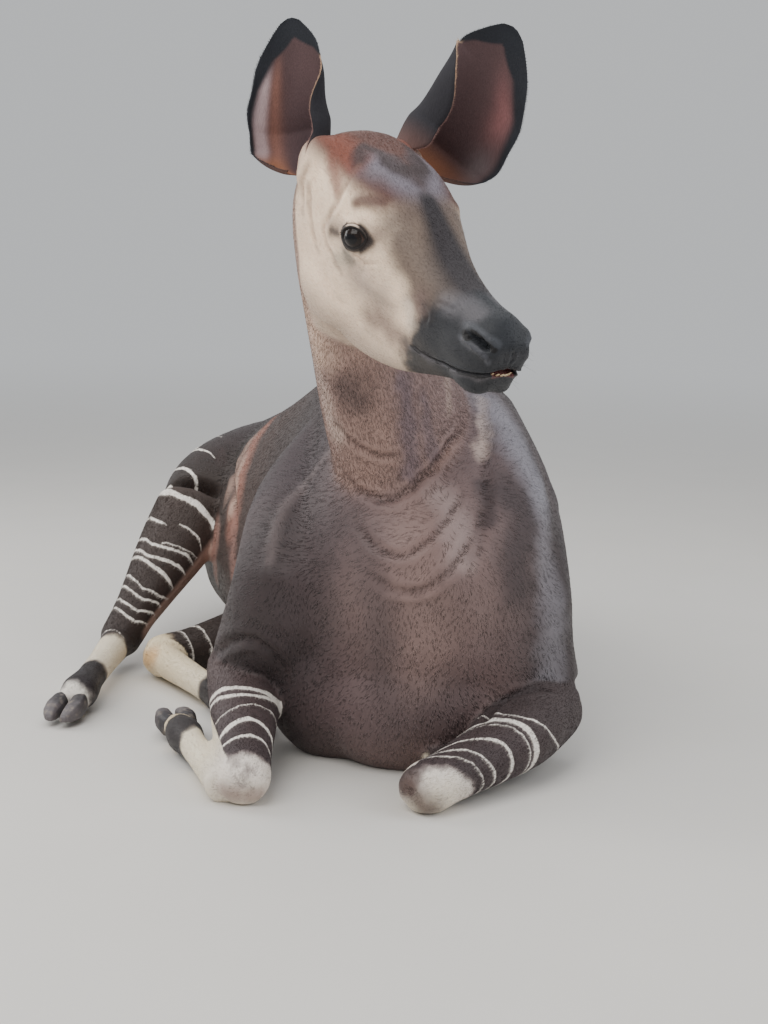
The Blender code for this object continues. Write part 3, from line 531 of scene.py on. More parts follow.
# The gap that shows the teeth: height at the middle, drop to each side, half height, half width, depth
MOUTH_GAP_UP = -0.0262
MOUTH_GAP_SLOPE = 0.20
MOUTH_GAP_DEPTH = 0.022
MOUTH_GAP_HALF = 0.0056
MOUTH_GAP_WIDE = 0.0225
BODY_FOLDS = (
    # line, depth, half width, height of the ridges beside it
    (((-0.113, -0.562, 0.626), (-0.087, -0.562, 0.593), (-0.046, -0.564, 0.568), (-0.004, -0.562, 0.568)),
     0.0035, 0.006, 0.0015),
    (((-0.091, -0.499, 0.533), (-0.063, -0.514, 0.502), (-0.016, -0.545, 0.49), (0.034, -0.54, 0.523),
     (0.079, -0.518, 0.57), (0.125, -0.47, 0.61)), 0.005, 0.0065, 0.0025),
    (((-0.072, -0.529, 0.453), (-0.043, -0.567, 0.418), (0.003, -0.594, 0.407), (0.062, -0.586, 0.447),
     (0.109, -0.549, 0.507)), 0.0035, 0.0065, 0.0018),
    (((-0.051, -0.572, 0.377), (-0.011, -0.591, 0.347), (0.037, -0.599, 0.349), (0.086, -0.603, 0.391),
     (0.122, -0.58, 0.445)), 0.005, 0.007, 0.0025),
    (((-0.1, -0.395, 0.56), (-0.133, -0.366, 0.495), (-0.172, -0.387, 0.454), (-0.198, -0.432, 0.41),
     (-0.208, -0.462, 0.367), (-0.222, -0.48, 0.289)), -0.0045, 0.014, 0.0),
    (((0.174, -0.367, 0.637), (0.169, -0.442, 0.594), (0.156, -0.499, 0.55), (0.146, -0.55, 0.49),
     (0.13, -0.584, 0.429), (0.111, -0.599, 0.399)), 0.006, 0.015, 0.0),
    (((-0.245, 0.472, 0.426), (-0.238, 0.38, 0.41), (-0.232, 0.293, 0.388), (-0.233, 0.169, 0.326),
     (-0.25, 0.19, 0.25)), 0.008, 0.013, 0.0),
    (((0.137, -0.598, 0.115), (0.183, -0.535, 0.131), (0.241, -0.511, 0.15), (0.297, -0.496, 0.145)), 0.008,
     0.007, 0.0035),
    (((-0.299, -0.298, 0.164), (-0.257, -0.434, 0.226), (-0.207, -0.466, 0.216), (-0.17, -0.439, 0.155)),
     0.007, 0.008, 0.0035),
    (((-0.215, -0.5, 0.19), (-0.235, -0.52, 0.15), (-0.225, -0.53, 0.11)), 0.003, 0.006, 0.0015),
    (((0.3, 0.2, 0.42), (0.31, 0.12, 0.33), (0.3, 0.08, 0.23)), 0.006, 0.013, 0.0),
    (((0.3, -0.3, 0.48), (0.33, -0.28, 0.4), (0.345, -0.25, 0.31), (0.345, -0.2, 0.22)), -0.004, 0.014,
     0.0),
)
# The lids' opening, on a plane this far in front of the eye's middle
LID_PLANE = 0.021
LID_REACH = 0.055
LID_HALF = 0.0215
LID_UPPER = 0.0150
LID_LOWER = 0.0115
# How far the lids stand out from the eyeball, by the distance from their opening
LID_GAPS = (-0.0030, -0.0012, 0.0, 0.0010, 0.0030, 0.0060, 0.0080, 0.0098, 0.0120, 0.0160)
LID_RISE = (-0.0040, -0.0022, 0.0004, 0.0022, 0.0031, 0.0040, 0.0042, 0.0030, 0.0052, 0.0055)
LOWER_RISE = (-0.0040, -0.0022, 0.0004, 0.0018, 0.0024, 0.0029, 0.0026, 0.0030, 0.0040, 0.0045)


def crease(points, normals, line, depth, width, ridge, fade=0.2):
    """Press a groove along a line, with low ridges beside it; a depth below zero raises a ridge."""
    pick, distance, share = near_line(points, smooth_line(line), 4.0 * width, snap=0.014)
    ends = smoothstep(0.0, fade, share) * smoothstep(0.0, fade, 1.0 - share)
    groove = depth * np.exp(-(distance / width) ** 2)
    beside = ridge * np.exp(-((distance - 2.2 * width) / width) ** 2)
    points[pick] += normals[pick] * ((beside - groove) * ends)[:, None]


def lid_place(points, side, eye):
    """Places along and across the slit on a plane in front of the eye."""
    outward, slit, across = gaze(side)
    offset = points - eye
    depth = np.maximum(offset @ outward, 0.004)
    return LID_PLANE * (offset @ slit) / depth, LID_PLANE * (offset @ across) / depth


def lid_gap(points, side, eye):
    """How far points lie outside the almond that the lids leave open."""
    x, y = lid_place(points, side, eye)
    reach = np.hypot(x, y) + 1e-9
    high = np.where(y > 0.0, LID_UPPER, LID_LOWER)
    edge = 1.0 / np.sqrt((x / reach / LID_HALF) ** 2 + (y / reach / high) ** 2)
    edge = edge * (1.0 + 0.14 * np.exp(-(y / reach / 0.22) ** 2))
    return reach - edge


def shape_lids(points):
    """Lids that wrap the eyeballs, with a fold above."""
    for side, eye in EYES:
        offset = points - eye
        before = offset @ gaze(side)[0] > 0.006
        pick = np.nonzero(before & (np.linalg.norm(offset, axis=1) < LID_REACH))[0]
        gap = lid_gap(points[pick], side, eye)
        above = smoothstep(-0.006, 0.006, lid_place(points[pick], side, eye)[1])
        lower = np.interp(gap, LID_GAPS, LOWER_RISE)
        rise = above * np.interp(gap, LID_GAPS, LID_RISE) + (1.0 - above) * lower
        reach = np.linalg.norm(offset[pick], axis=1)
        share = smoothstep(0.017, 0.009, gap)
        new = reach * (1.0 - share) + (EYE_RADIUS + rise) * share
        points[pick] = eye + offset[pick] * (new / reach)[:, None]


def shape_mouth(points, normals):
    """Mouth line with its lips, the gap that shows the teeth, and hollow nostrils."""
    for side, _ in EYES:
        crease(points, normals, head(MOUTH_LINE, side), *MOUTH_GROOVE, fade=0.06)
        crease(points, normals, head(NOSTRIL_LINE, side), *NOSTRIL_GROOVE, fade=0.25)
    h = in_head(points)
    outward = np.abs(h[:, 1])
    middle = MOUTH_GAP_UP - MOUTH_GAP_SLOPE * outward
    high = MOUTH_GAP_HALF * (1.0 - (outward / MOUTH_GAP_WIDE) ** 4)
    gap = smoothstep(0.0009, -0.0009, np.abs(h[:, 2] - middle) - high) * smoothstep(0.466, 0.474, h[:, 0])
    points -= HEAD_F * (MOUTH_GAP_DEPTH * gap * (outward < MOUTH_GAP_WIDE))[:, None]


def shape_skin(mesh):
    """Folds of the body and head, the mouth, nostrils and lids."""
    points = points_of(mesh)
    normals = normals_of(mesh)
    for line, *groove in BODY_FOLDS:
        crease(points, normals, body(line), *groove)
    for line, *groove in HEAD_FOLDS:
        for side, _ in EYES:
            crease(points, normals, head(line, side), *groove)
    shape_mouth(points, normals)
    shape_lids(points)
    set_points(mesh, off_floor(points, SKIN_LIFT))


def nearest_node(points, names):
    """Index of the flesh node that each point lies on."""
    corners, triangles, owners = [], [], []
    count = 0
    for index, name in enumerate(names):
        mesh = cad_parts[name].data
        mesh.calc_loop_triangles()
        corners.append(points_of(mesh))
        faces = np.array([tri.vertices[:] for tri in mesh.loop_triangles]) + count
        triangles.append(faces)
        owners += [index] * len(faces)
        count += len(corners[-1])
    tree = BVHTree.FromPolygons(np.vstack(corners).tolist(), np.vstack(triangles).tolist())
    owners = np.array(owners)
    found = [tree.find_nearest(point)[2] for point in points.tolist()]
    return owners[found]


# Markings
SLATE = srgb(33, 36, 41)
CREAM = srgb(246, 219, 192)
WHITE_HAIR = srgb(238, 231, 222)
BODY_PLACES = (-0.60, -0.45, -0.30, -0.10, 0.10, 0.30, 0.45, 0.60, 0.80)
BODY_SHADES = ((116, 96, 93), (102, 84, 84), (62, 52, 54), (50, 39, 38), (60, 42, 36), (54, 40, 34),
               (44, 34, 30), (40, 31, 27), (37, 29, 26))
LEG_SHADES = {
    # places along the leg's axis, and the shade that starts there
    "fore_right": ((0.0, (82, 67, 66)), (0.33, (64, 53, 54)), (0.352, (222, 212, 202)),
                   (0.46, (232, 220, 196)), (0.582, (232, 220, 196)), (0.597, (46, 40, 40)),
                   (0.68, (42, 36, 38)), (0.691, (218, 200, 166)), (0.748, (208, 200, 190))),
    "fore_left": ((0.0, (80, 66, 66)), (0.35, (62, 51, 52)), (0.374, (222, 212, 202)),
                  (0.46, (232, 220, 196)), (0.596, (232, 220, 196)), (0.612, (46, 40, 40)),
                  (0.715, (42, 36, 38)), (0.728, (228, 220, 210)), (0.76, (208, 200, 190))),
    "hind_right": ((0.346, (60, 48, 43)), (0.765, (54, 44, 41)), (0.787, (230, 218, 194)),
                   (0.922, (232, 220, 198)), (0.94, (44, 38, 38)), (1.052, (42, 36, 38)),
                   (1.068, (228, 222, 212)), (1.13, (204, 196, 188))),
    "hind_left": ((0.0, (58, 46, 42)), (0.325, (54, 44, 40)), (0.345, (226, 208, 174)),
                  (0.6, (230, 216, 190)), (0.615, (46, 40, 40)), (0.7, (42, 36, 38)),
                  (0.715, (228, 220, 210)), (0.76, (206, 198, 190))),
}
KNEE_STAINS = {
    # strokes of paint on the knees and the hock, with rows as in the strokes below
    "fore_right": (((150, 126, 118), 0.016, 0.75, 0.85,
                    ((-0.300, -0.662, 0.020), (-0.265, -0.678, 0.012), (-0.232, -0.664, 0.018))),),
    "fore_left": (((100, 82, 76), 0.024, 0.85, 0.85,
                   ((-0.008, -0.722, 0.048), (0.006, -0.735, 0.026), (0.028, -0.738, 0.010))),),
    "hind_left": (((206, 152, 84), 0.018, 0.6, 0.85, ((-0.425, 0.120, 0.050), (-0.405, 0.105, 0.062))),),
}
# How far the shades' edges swing along the leg, with cosine and sine of the angle round it
LEG_SLANT = {"fore_right": (0.027, 0.0), "fore_left": (0.033, 0.030)}
# White rings: mean place along the axis, its swing with cosine and sine of the angle, half width
RINGS = {
    "fore_right": ((0.143, 0.028, -0.008, 0.0062), (0.153, 0.039, -0.001, 0.0046),
                   (0.221, 0.001, 0.015, 0.0014), (0.29, -0.026, 0.014, 0.0058),
                   (0.328, -0.019, 0.008, 0.003)),
    "fore_left": ((0.126, 0.067, 0.003, 0.0022), (0.229, -0.002, 0.051, 0.0068),
                  (0.246, -0.002, 0.05, 0.0018), (0.301, 0.001, 0.063, 0.0036),
                  (0.318, 0.014, 0.036, 0.0026), (0.338, 0.016, 0.03, 0.0018)),
    "hind_right": (),
    "hind_left": ((0.27, 0.0, 0.006, 0.0022), (0.308, 0.0, 0.004, 0.0018)),
}
# White stripes of the right thigh: half width, then angles round the leg with places along it
THIGH_STRIPES = (
    (0.002, ((-2, 0.226), (12, 0.214), (50, 0.18))),
    (0.0036, ((-18, 0.291), (-3, 0.272), (25, 0.242), (60, 0.215), (110, 0.19))),
    (0.0048, ((-12, 0.346), (-6, 0.344), (29, 0.312), (51, 0.296), (90, 0.275), (140, 0.25))),
    (0.0078, ((-92, 0.436), (-83, 0.413), (-67, 0.396), (-41, 0.382), (-10, 0.379), (28, 0.364),
     (60, 0.352), (110, 0.33), (160, 0.32))),
    (0.0029, ((-8, 0.454), (14, 0.444), (40, 0.432), (90, 0.415), (150, 0.4))),
    (0.0022, ((-84, 0.466), (-69, 0.449), (-50, 0.441), (-30, 0.442))),
    (0.0016, ((-86, 0.484), (-67, 0.486), (-45, 0.489), (-17, 0.494))),
    (0.0032, ((-88, 0.501), (-65, 0.495), (-34, 0.503), (4, 0.502), (34, 0.489), (90, 0.465),
     (150, 0.455))),
    (0.003, ((-88, 0.527), (-74, 0.526), (-50, 0.528), (2, 0.529), (34, 0.516), (90, 0.495), (150, 0.49))),
    (0.0032, ((-86, 0.567), (-76, 0.564), (-51, 0.556), (-22, 0.548), (24, 0.535), (90, 0.52),
     (150, 0.522))),
    (0.0026, ((-96, 0.588), (-71, 0.601), (-27, 0.606), (28, 0.581), (110, 0.56), (170, 0.556))),
    (0.0025, ((-94, 0.612), (-78, 0.616), (-40, 0.628), (8, 0.613), (60, 0.6), (150, 0.59))),
    (0.0025, ((-94, 0.636), (-82, 0.64), (-45, 0.654), (1, 0.645), (90, 0.625), (170, 0.62))),
    (0.0024, ((-94, 0.662), (-82, 0.666), (-50, 0.679), (-9, 0.669), (90, 0.65), (170, 0.648))),
    (0.0022, ((-55, 0.77), (-30, 0.765), (-8, 0.755), (30, 0.745), (90, 0.742))),
)
# Places along the axis, and how far from it the stripes reach there
THIGH_REACH = ((0.25, 0.36, 0.50, 0.70), (0.25, 0.175, 0.125, 0.095))
RING_REACH = ((0.0, 1.0), (0.115, 0.115))
# Where the stripes begin along the body, on the right thigh and the left haunch
THIGH_START = 0.43
HAUNCH_START = 0.25
# Left haunch: a place on the hip, the thigh's way and the stripes' way in the body's upright plane
HAUNCH = (0.700, 0.345)
THIGH_WAY = (-0.83, -0.55)
STRIPE_WAY = (0.55, -0.83)
HAUNCH_STRIPES = ((-0.010, 0.0030), (0.040, 0.0026), (0.085, 0.0044), (0.135, 0.0062), (0.186, 0.0036),
                  (0.222, 0.0048), (0.262, 0.0026), (0.298, 0.0038))
SHARES = ("torso", "neck", "head", *LEGS)    # parts of the body that points belong to
# Half width of the nose's dark stripe along the head, and how far back the slate reaches at each height
STRIPE_HALF = ((0.18, 0.20, 0.25, 0.295, 0.34, 0.47), (0.010, 0.015, 0.027, 0.036, 0.040, 0.038))
SLATE_EDGE = ((-0.126, -0.101, -0.076, -0.050, -0.023, -0.008, 0.006, 0.021, 0.030),
              (0.312, 0.316, 0.320, 0.327, 0.342, 0.345, 0.357, 0.370, 0.374))


# Strokes of paint: shade, half width, strength, softness of the edge, then a line, which is in the
# animal's own frame on the trunk and in the head's frame on the head
TRUNK_STROKES = (
    # painted rim light along the edge of the neck's right side
    ((200, 178, 166), 0.018, 0.5, 0.8, ((-0.15, -0.59, 0.76), (-0.135, -0.565, 0.66),
     (-0.11, -0.545, 0.592))),
    # painted rim light on the neck's right edge, under the jaw
    ((210, 180, 160), 0.028, 0.7, 0.85, ((-0.142, -0.612, 0.815), (-0.138, -0.6, 0.745))),
    ((134, 111, 106), 0.04, 0.8, 0.9, ((0.015, -0.56, 0.52), (0.028, -0.6, 0.399), (0.031, -0.592, 0.33),
     (0.045, -0.566, 0.255), (0.043, -0.54, 0.179))),
    ((160, 142, 139), 0.022, 0.6, 0.9, ((0.07, -0.56, 0.5), (0.088, -0.577, 0.462),
     (0.094, -0.601, 0.399))),
    ((84, 71, 71), 0.028, 0.6, 0.9, ((-0.08, -0.523, 0.452), (-0.06, -0.56, 0.4), (-0.045, -0.575, 0.33),
     (-0.033, -0.56, 0.254), (-0.025, -0.545, 0.18))),
    # painted sheen along the outline of the left shoulder
    ((140, 137, 144), 0.03, 0.5, 0.9, ((0.262, -0.47, 0.47), (0.262, -0.5, 0.381), (0.274, -0.498, 0.3),
     (0.28, -0.492, 0.23), (0.286, -0.47, 0.16))),
    ((98, 86, 96), 0.016, 0.6, 0.85, ((-0.015, -0.6, 0.705), (0.005, -0.575, 0.63), (0.022, -0.557, 0.54))),
    ((104, 90, 98), 0.012, 0.5, 0.85, ((0.04, -0.59, 0.7), (0.05, -0.56, 0.62), (0.06, -0.54, 0.56))),
    # painted shadow on the neck under the jaw
    ((84, 68, 66), 0.03, 0.75, 0.85, ((-0.095, -0.615, 0.69), (-0.08, -0.6, 0.67))),
    ((178, 156, 146), 0.014, 0.6, 0.85, ((0.088, -0.483, 0.69), (0.087, -0.495, 0.645))),
    ((188, 168, 158), 0.012, 0.7, 0.85, ((0.167, -0.373, 0.638), (0.161, -0.446, 0.595),
     (0.146, -0.496, 0.558))),
    # painted shade in the crease where the neck meets the left shoulder
    ((60, 49, 51), 0.014, 0.8, 0.85, ((0.148, -0.54, 0.512), (0.145, -0.561, 0.462))),
    ((58, 48, 50), 0.036, 0.75, 0.85, ((0.182, -0.522, 0.498), (0.225, -0.516, 0.452),
     (0.195, -0.562, 0.391), (0.206, -0.557, 0.338))),
    # painted blue-grey sheen on the left shoulder
    ((150, 148, 158), 0.048, 0.6, 0.85, ((0.205, -0.38, 0.63), (0.235, -0.43, 0.56), (0.262, -0.44, 0.5))),
    ((62, 52, 54), 0.05, 0.55, 0.85, ((-0.118, -0.49, 0.429), (-0.142, -0.489, 0.308),
     (-0.156, -0.467, 0.215))),
    ((56, 47, 49), 0.06, 0.5, 0.85, ((0.009, -0.541, 0.12), (0.09, -0.56, 0.13))),
    # painted highlight along the ridge of the right shoulder
    ((116, 102, 101), 0.011, 0.32, 0.9, ((-0.107, -0.381, 0.538), (-0.133, -0.366, 0.495),
     (-0.172, -0.387, 0.454), (-0.198, -0.432, 0.41), (-0.208, -0.462, 0.367))),
    # this row and those below: an orange-pink strip of painted rim light on the right flank and thigh
    ((146, 98, 82), 0.038, 0.85, 0.85, ((-0.166, 0.3, 0.5), (-0.187, 0.262, 0.47), (-0.207, 0.235, 0.432),
     (-0.222, 0.205, 0.375), (-0.236, 0.19, 0.31))),
    ((160, 130, 116), 0.028, 0.75, 0.85, ((-0.195, 0.33, 0.46), (-0.215, 0.32, 0.42), (-0.228, 0.3, 0.37))),
    ((176, 146, 130), 0.018, 0.8, 0.85, ((-0.214, 0.262, 0.44), (-0.228, 0.235, 0.385),
     (-0.238, 0.22, 0.335))),
    ((172, 132, 120), 0.035, 0.85, 0.85, ((-0.262, 0.339, 0.254), (-0.266, 0.36, 0.19))),
    ((142, 106, 96), 0.022, 0.7, 0.85, ((-0.232, 0.18, 0.3), (-0.24, 0.15, 0.22), (-0.236, 0.13, 0.15))),
)
CROWN_STROKES = (
    ((176, 156, 142), 0.03, 0.8, 0.85, ((0.2, 0.083, -0.05), (0.25, 0.065, -0.055))),
    # painted blue-grey sheen on the forehead
    ((112, 108, 118), 0.026, 0.85, 0.85, ((0.112, 0.05, 0.09), (0.16, 0.03, 0.093), (0.192, 0.012, 0.086))),
    ((118, 64, 48), 0.02, 0.9, 0.85, ((0.02, 0.06, 0.08), (0.055, 0.068, 0.083), (0.095, 0.07, 0.083))),
    ((118, 66, 52), 0.009, 0.7, 0.85, ((0.045, 0.072, 0.078), (0.07, 0.086, 0.06), (0.112, 0.094, 0.043))),
    ((50, 37, 38), 0.01, 0.85, 0.85, ((0.103, 0.066, 0.084), (0.071, 0.043, 0.095), (0.093, 0.033, 0.1),
     (0.132, 0.0315, 0.097), (0.141, 0.024, 0.097), (0.143, 0.0, 0.099))),
    ((52, 40, 41), 0.015, 0.75, 0.85, ((0.12, 0.02, 0.1), (0.147, 0.01, 0.098), (0.162, 0.0, 0.095))),
)
CHEEK_STROKES = (
    ((120, 98, 90), 0.022, 0.75, 0.85, ((0.235, 0.062, -0.1), (0.275, 0.056, -0.096),
     (0.312, 0.05, -0.092))),
    ((112, 92, 86), 0.016, 0.7, 0.85, ((0.322, 0.056, -0.012), (0.34, 0.054, -0.026),
     (0.338, 0.055, -0.04))),
)
# Painted highlights: on top of the muzzle, and on the cheek's bulge above the mouth's corner
NOSE_AND_CHEEK_HIGHLIGHTS = (
    ((112, 108, 112), 0.016, 0.5, 0.85, ((0.362, 0.043, 0.013), (0.385, 0.034, 0.026),
     (0.412, 0.032, 0.028))),
    ((226, 208, 190), 0.012, 0.55, 0.85, ((0.304, 0.058, -0.034), (0.316, 0.056, -0.052))),
)
LIP_STROKES = (
    ((46, 46, 50), 0.009, 0.6, 0.85, ((0.486, 0.02, 0.002), (0.492, 0.0, 0.0))),
)
EYE_STROKES = (
    ((112, 92, 84), 0.016, 0.6, 0.85, ((0.13, 0.093, -0.012), (0.16, 0.097, 0.0), (0.19, 0.09, 0.01),
     (0.209, 0.079, 0.024))),
    # painted shade under the lower lid
    ((140, 136, 124), 0.014, 0.5, 0.85, ((0.172, 0.096, -0.03), (0.15, 0.0845, -0.05))),
    ((88, 60, 52), 0.0095, 0.85, 0.7, ((0.157, 0.087, 0.05), (0.17, 0.079, 0.06), (0.184, 0.069, 0.065))),
    ((50, 40, 38), 0.0065, 0.8, 0.9, ((0.128, 0.093, -0.0165), (0.142, 0.0915, -0.01))),
    ((58, 46, 42), 0.0065, 0.7, 0.9, ((0.198, 0.084, 0.014), (0.208, 0.0797, 0.018))),
    # painted shade under the lower lid
    ((100, 92, 84), 0.009, 0.6, 0.9, ((0.168, 0.086, -0.03), (0.182, 0.083, -0.032))),
)


class Tint:
    """Colours of points, painted over in soft strokes whose edges waver."""

    def __init__(self, points, shade, waver=0.003):
        waves = [ripple(points, 0.035, seed) for seed in (11, 12, 13)]
        self.points = points + waver * np.stack(waves, axis=1)
        self.colours = np.tile(shade, (len(points), 1))

    def cover(self, shade, amount):
        self.colours += (shade - self.colours) * np.clip(amount, 0.0, 1.0)[:, None]

    def stroke(self, shade, width, line, strength=1.0, soft=0.85):
        """Paint along a line, fading from a soft inner share of the half width to beyond it."""
        line = np.array(line, float)
        line = smooth_line(line if len(line) > 1 else np.vstack((line, line + 0.001)))
        pick, distance, _ = near_line(self.points, line, width * (1.0 + soft), snap=0.020)
        amount = strength * smoothstep(width * (1.0 + soft), width * (1.0 - soft), distance)
        self.colours[pick] += (shade - self.colours[pick]) * amount[:, None]

    def strokes(self, rows):
        for shade, width, strength, soft, line in rows:
            self.stroke(srgb(*shade), width, line, strength, soft)


def shades_along(places, shades, x):
    channels = [np.interp(x, places, [shade[index] for shade in shades]) for index in range(3)]
    return srgb(*channels).T


def paint_trunk(points, normals, zone):
    """Body and neck: chocolate flanks, dark rump, grey-pink neck, and the patches between; some are painted
    sheen, rim light and shade.
    """
    place = points - SHIFT
    tint = Tint(place, srgb(100, 80, 76), 0.005)
    tint.colours = shades_along(BODY_PLACES, BODY_SHADES, place[:, 1] + 0.04 * ripple(place, 0.25, 21))
    tint.cover(srgb(92, 71, 66), 0.5 * smoothstep(-0.2, -0.8, normals[:, 2]))
    # The upward-facing back is painted greyer and lighter: a painted sheen.
    back = smoothstep(0.55, 0.95, normals[:, 2]) * smoothstep(0.35, 0.50, place[:, 2])
    tint.cover(srgb(70, 60, 64), 0.45 * back)
    flank = smoothstep(0.08, 0.26, np.abs(place[:, 0] - 0.05)) * smoothstep(-0.30, -0.42, place[:, 1])
    tint.cover(srgb(46, 38, 39), 0.9 * flank * zone[:, 0])
    neck = zone[:, 1]
    tint.cover(srgb(152, 124, 115), neck * (0.92 + 0.08 * ripple(place, 0.06, 22)))
    # Painted shade on the neck's left side, which faces away from the light.
    tint.cover(srgb(120, 101, 102), neck * smoothstep(0.0, 0.8, normals[:, 0]) * 0.55)
    tint.cover(srgb(198, 168, 150), neck * smoothstep(0.70, 0.84, place[:, 2]) * 0.6)
    tint.strokes(TRUNK_STROKES)
    # Painted shade along the grooves of the body's folds.
    for line, depth, width, _ in BODY_FOLDS:
        if depth > 0.0:
            tint.stroke(srgb(70, 54, 52), width * 0.7, line, 0.28)
    return tint.colours


def paint_leg(points, leg):
    """Dark upper leg, pale knee or hock and cannon, black fetlock, white ring above the hooves."""
    place = points - SHIFT
    along, angle, _ = limb_frame(points, leg_axis(leg))
    slant = LEG_SLANT.get(leg, (0.0, 0.0))
    along = along - slant[0] * np.cos(angle) - slant[1] * np.sin(angle)
    along += 0.006 * ripple(points, 0.05, 31) + 0.003 * ripple(points, 0.015, 32)
    tint = Tint(place, srgb(0, 0, 0), 0.002)
    tint.colours = shades_along(*zip(*LEG_SHADES[leg]), along)
    tint.strokes(KNEE_STAINS.get(leg, ()))
    if leg == "fore_left":
        # Painted shade on the folded leg where it lies under the chest.
        shade_under_chest = smoothstep(-0.62, -0.58, place[:, 1]) * smoothstep(0.040, 0.052, place[:, 2])
        tint.cover(srgb(66, 55, 55), shade_under_chest)
    if leg == "hind_right":
        inner = smoothstep(-82.0, -96.0, np.degrees(angle)) * smoothstep(0.70, 0.66, along)
        tint.cover(srgb(190, 156, 142), 0.9 * inner)
    return tint.colours


def paint_head(points):
    """Cream cheeks, red-brown crown, dark nose stripe and slate muzzle, alike on both sides."""
    h = in_head(points)
    h[:, 1] = np.abs(h[:, 1])
    along, out, up = h.T
    tint = Tint(h, CREAM)
    tint.cover(srgb(150, 132, 122), 0.6 * smoothstep(-0.10, -0.17, up))
    tint.cover(srgb(84, 50, 41), smoothstep(0.040, 0.078, up) * smoothstep(0.25, 0.18, along))
    tint.cover(srgb(150, 120, 110), 0.7 * smoothstep(0.04, -0.02, along) * smoothstep(-0.06, 0.02, up))
    tint.strokes(CROWN_STROKES)
    bridge = 0.564 * along + 0.824 * up + 0.006 * ripple(h, 0.04, 43)
    tint.cover(srgb(76, 62, 57), 0.90 * smoothstep(0.126, 0.174, bridge) * smoothstep(0.172, 0.220, along))
    tint.strokes(CHEEK_STROKES)
    half = np.interp(along, *STRIPE_HALF)
    stripe = smoothstep(1.60, 0.40, out / half)
    stripe *= smoothstep(0.165, 0.205, along + 0.006 * ripple(h, 0.03, 41))
    tint.cover(srgb(34, 30, 35), 0.96 * stripe * smoothstep(-0.03, 0.0, up))
    past_edge = along - np.interp(up, *SLATE_EDGE) + 0.005 * ripple(h, 0.02, 42)
    tint.cover(SLATE, 0.96 * smoothstep(-0.024, 0.015, past_edge))
    # Painted highlights on the muzzle and the cheek.
    tint.strokes(NOSE_AND_CHEEK_HIGHLIGHTS)
    paint_mouth(tint, h)
    paint_eyes(tint, points)
    return tint.colours


def paint_mouth(tint, h):
    """Grey lips with paler rims, a dark lip seam deepened as painted shade in the mouth's groove, nostrils
    of dark skin painted near-black as shade in their hollows, and pink inside the front of the mouth.
    """
    tint.stroke(srgb(74, 76, 82), 0.006, HEAD_FOLDS[11][0], 0.6)
    tint.stroke(srgb(80, 80, 86), 0.004, HEAD_FOLDS[12][0], 0.6)
    tint.stroke(srgb(88, 84, 88), 0.004, np.array(MOUTH_LINE)[:5] + (0.0, 0.0, -0.006), 0.6)
    tint.strokes(LIP_STROKES)
    # Dark lip seam, deepened as painted shade in the mouth's groove.
    tint.stroke(srgb(24, 21, 23), 0.0022, MOUTH_LINE, 0.9)
    # Nostrils: dark skin, painted near-black as shade in the hollows.
    tint.stroke(srgb(16, 14, 16), 0.0042, NOSTRIL_LINE, 1.0, soft=0.3)
    inner = smoothstep(0.452, 0.458, h[:, 0]) * smoothstep(0.481, 0.475, h[:, 0])
    inner = inner * smoothstep(0.0215, 0.0185, h[:, 1])
    high = np.abs(h[:, 2] + 0.0265 + MOUTH_GAP_SLOPE * h[:, 1])
    tint.cover(srgb(132, 82, 80), 0.9 * inner * smoothstep(0.0078, 0.0058, high))


def paint_eyes(tint, points):
    """Black lid rims, a pale upper lid under a fold painted dark as shade, painted shade along the creases
    behind the eye and under the lower lid, and the dark patches round the eye.
    """
    tint.strokes(EYE_STROKES)
    # Painted shade along the creases behind the eye.
    for line, _, width, _ in HEAD_FOLDS[:3]:
        tint.stroke(srgb(120, 88, 76), width, line, 0.35)
    for side, eye in EYES:
        near = np.linalg.norm(points - eye, axis=1) < LID_REACH
        gap = np.where(near, lid_gap(points, side, eye), 1.0)
        slit, across = lid_place(points, side, eye)
        above = smoothstep(0.001, 0.006, across)
        upper_lid = smoothstep(0.0035, 0.0050, gap) * smoothstep(0.0098, 0.0082, gap)
        tint.cover(srgb(216, 196, 180), 0.85 * above * upper_lid)
        # Painted shade in the fold above the upper lid.
        tint.cover(srgb(74, 54, 50), 0.85 * above * np.exp(-((gap - 0.0106) / 0.0018) ** 2))
        tint.cover(srgb(40, 32, 30), 0.95 * (1.0 - above) * smoothstep(0.0175, 0.0075, gap))
        corner = smoothstep(0.008, 0.015, np.abs(slit)) * near
        tint.cover(srgb(40, 32, 31), 0.95 * corner * smoothstep(0.0240, 0.0110, gap))
        tint.cover(srgb(24, 19, 19), smoothstep(0.0052, 0.0034, gap))


def leg_axis(leg):
    places = LEGS[leg]
    return body(HIP_RIGHT + places if leg == "hind_right" else places)


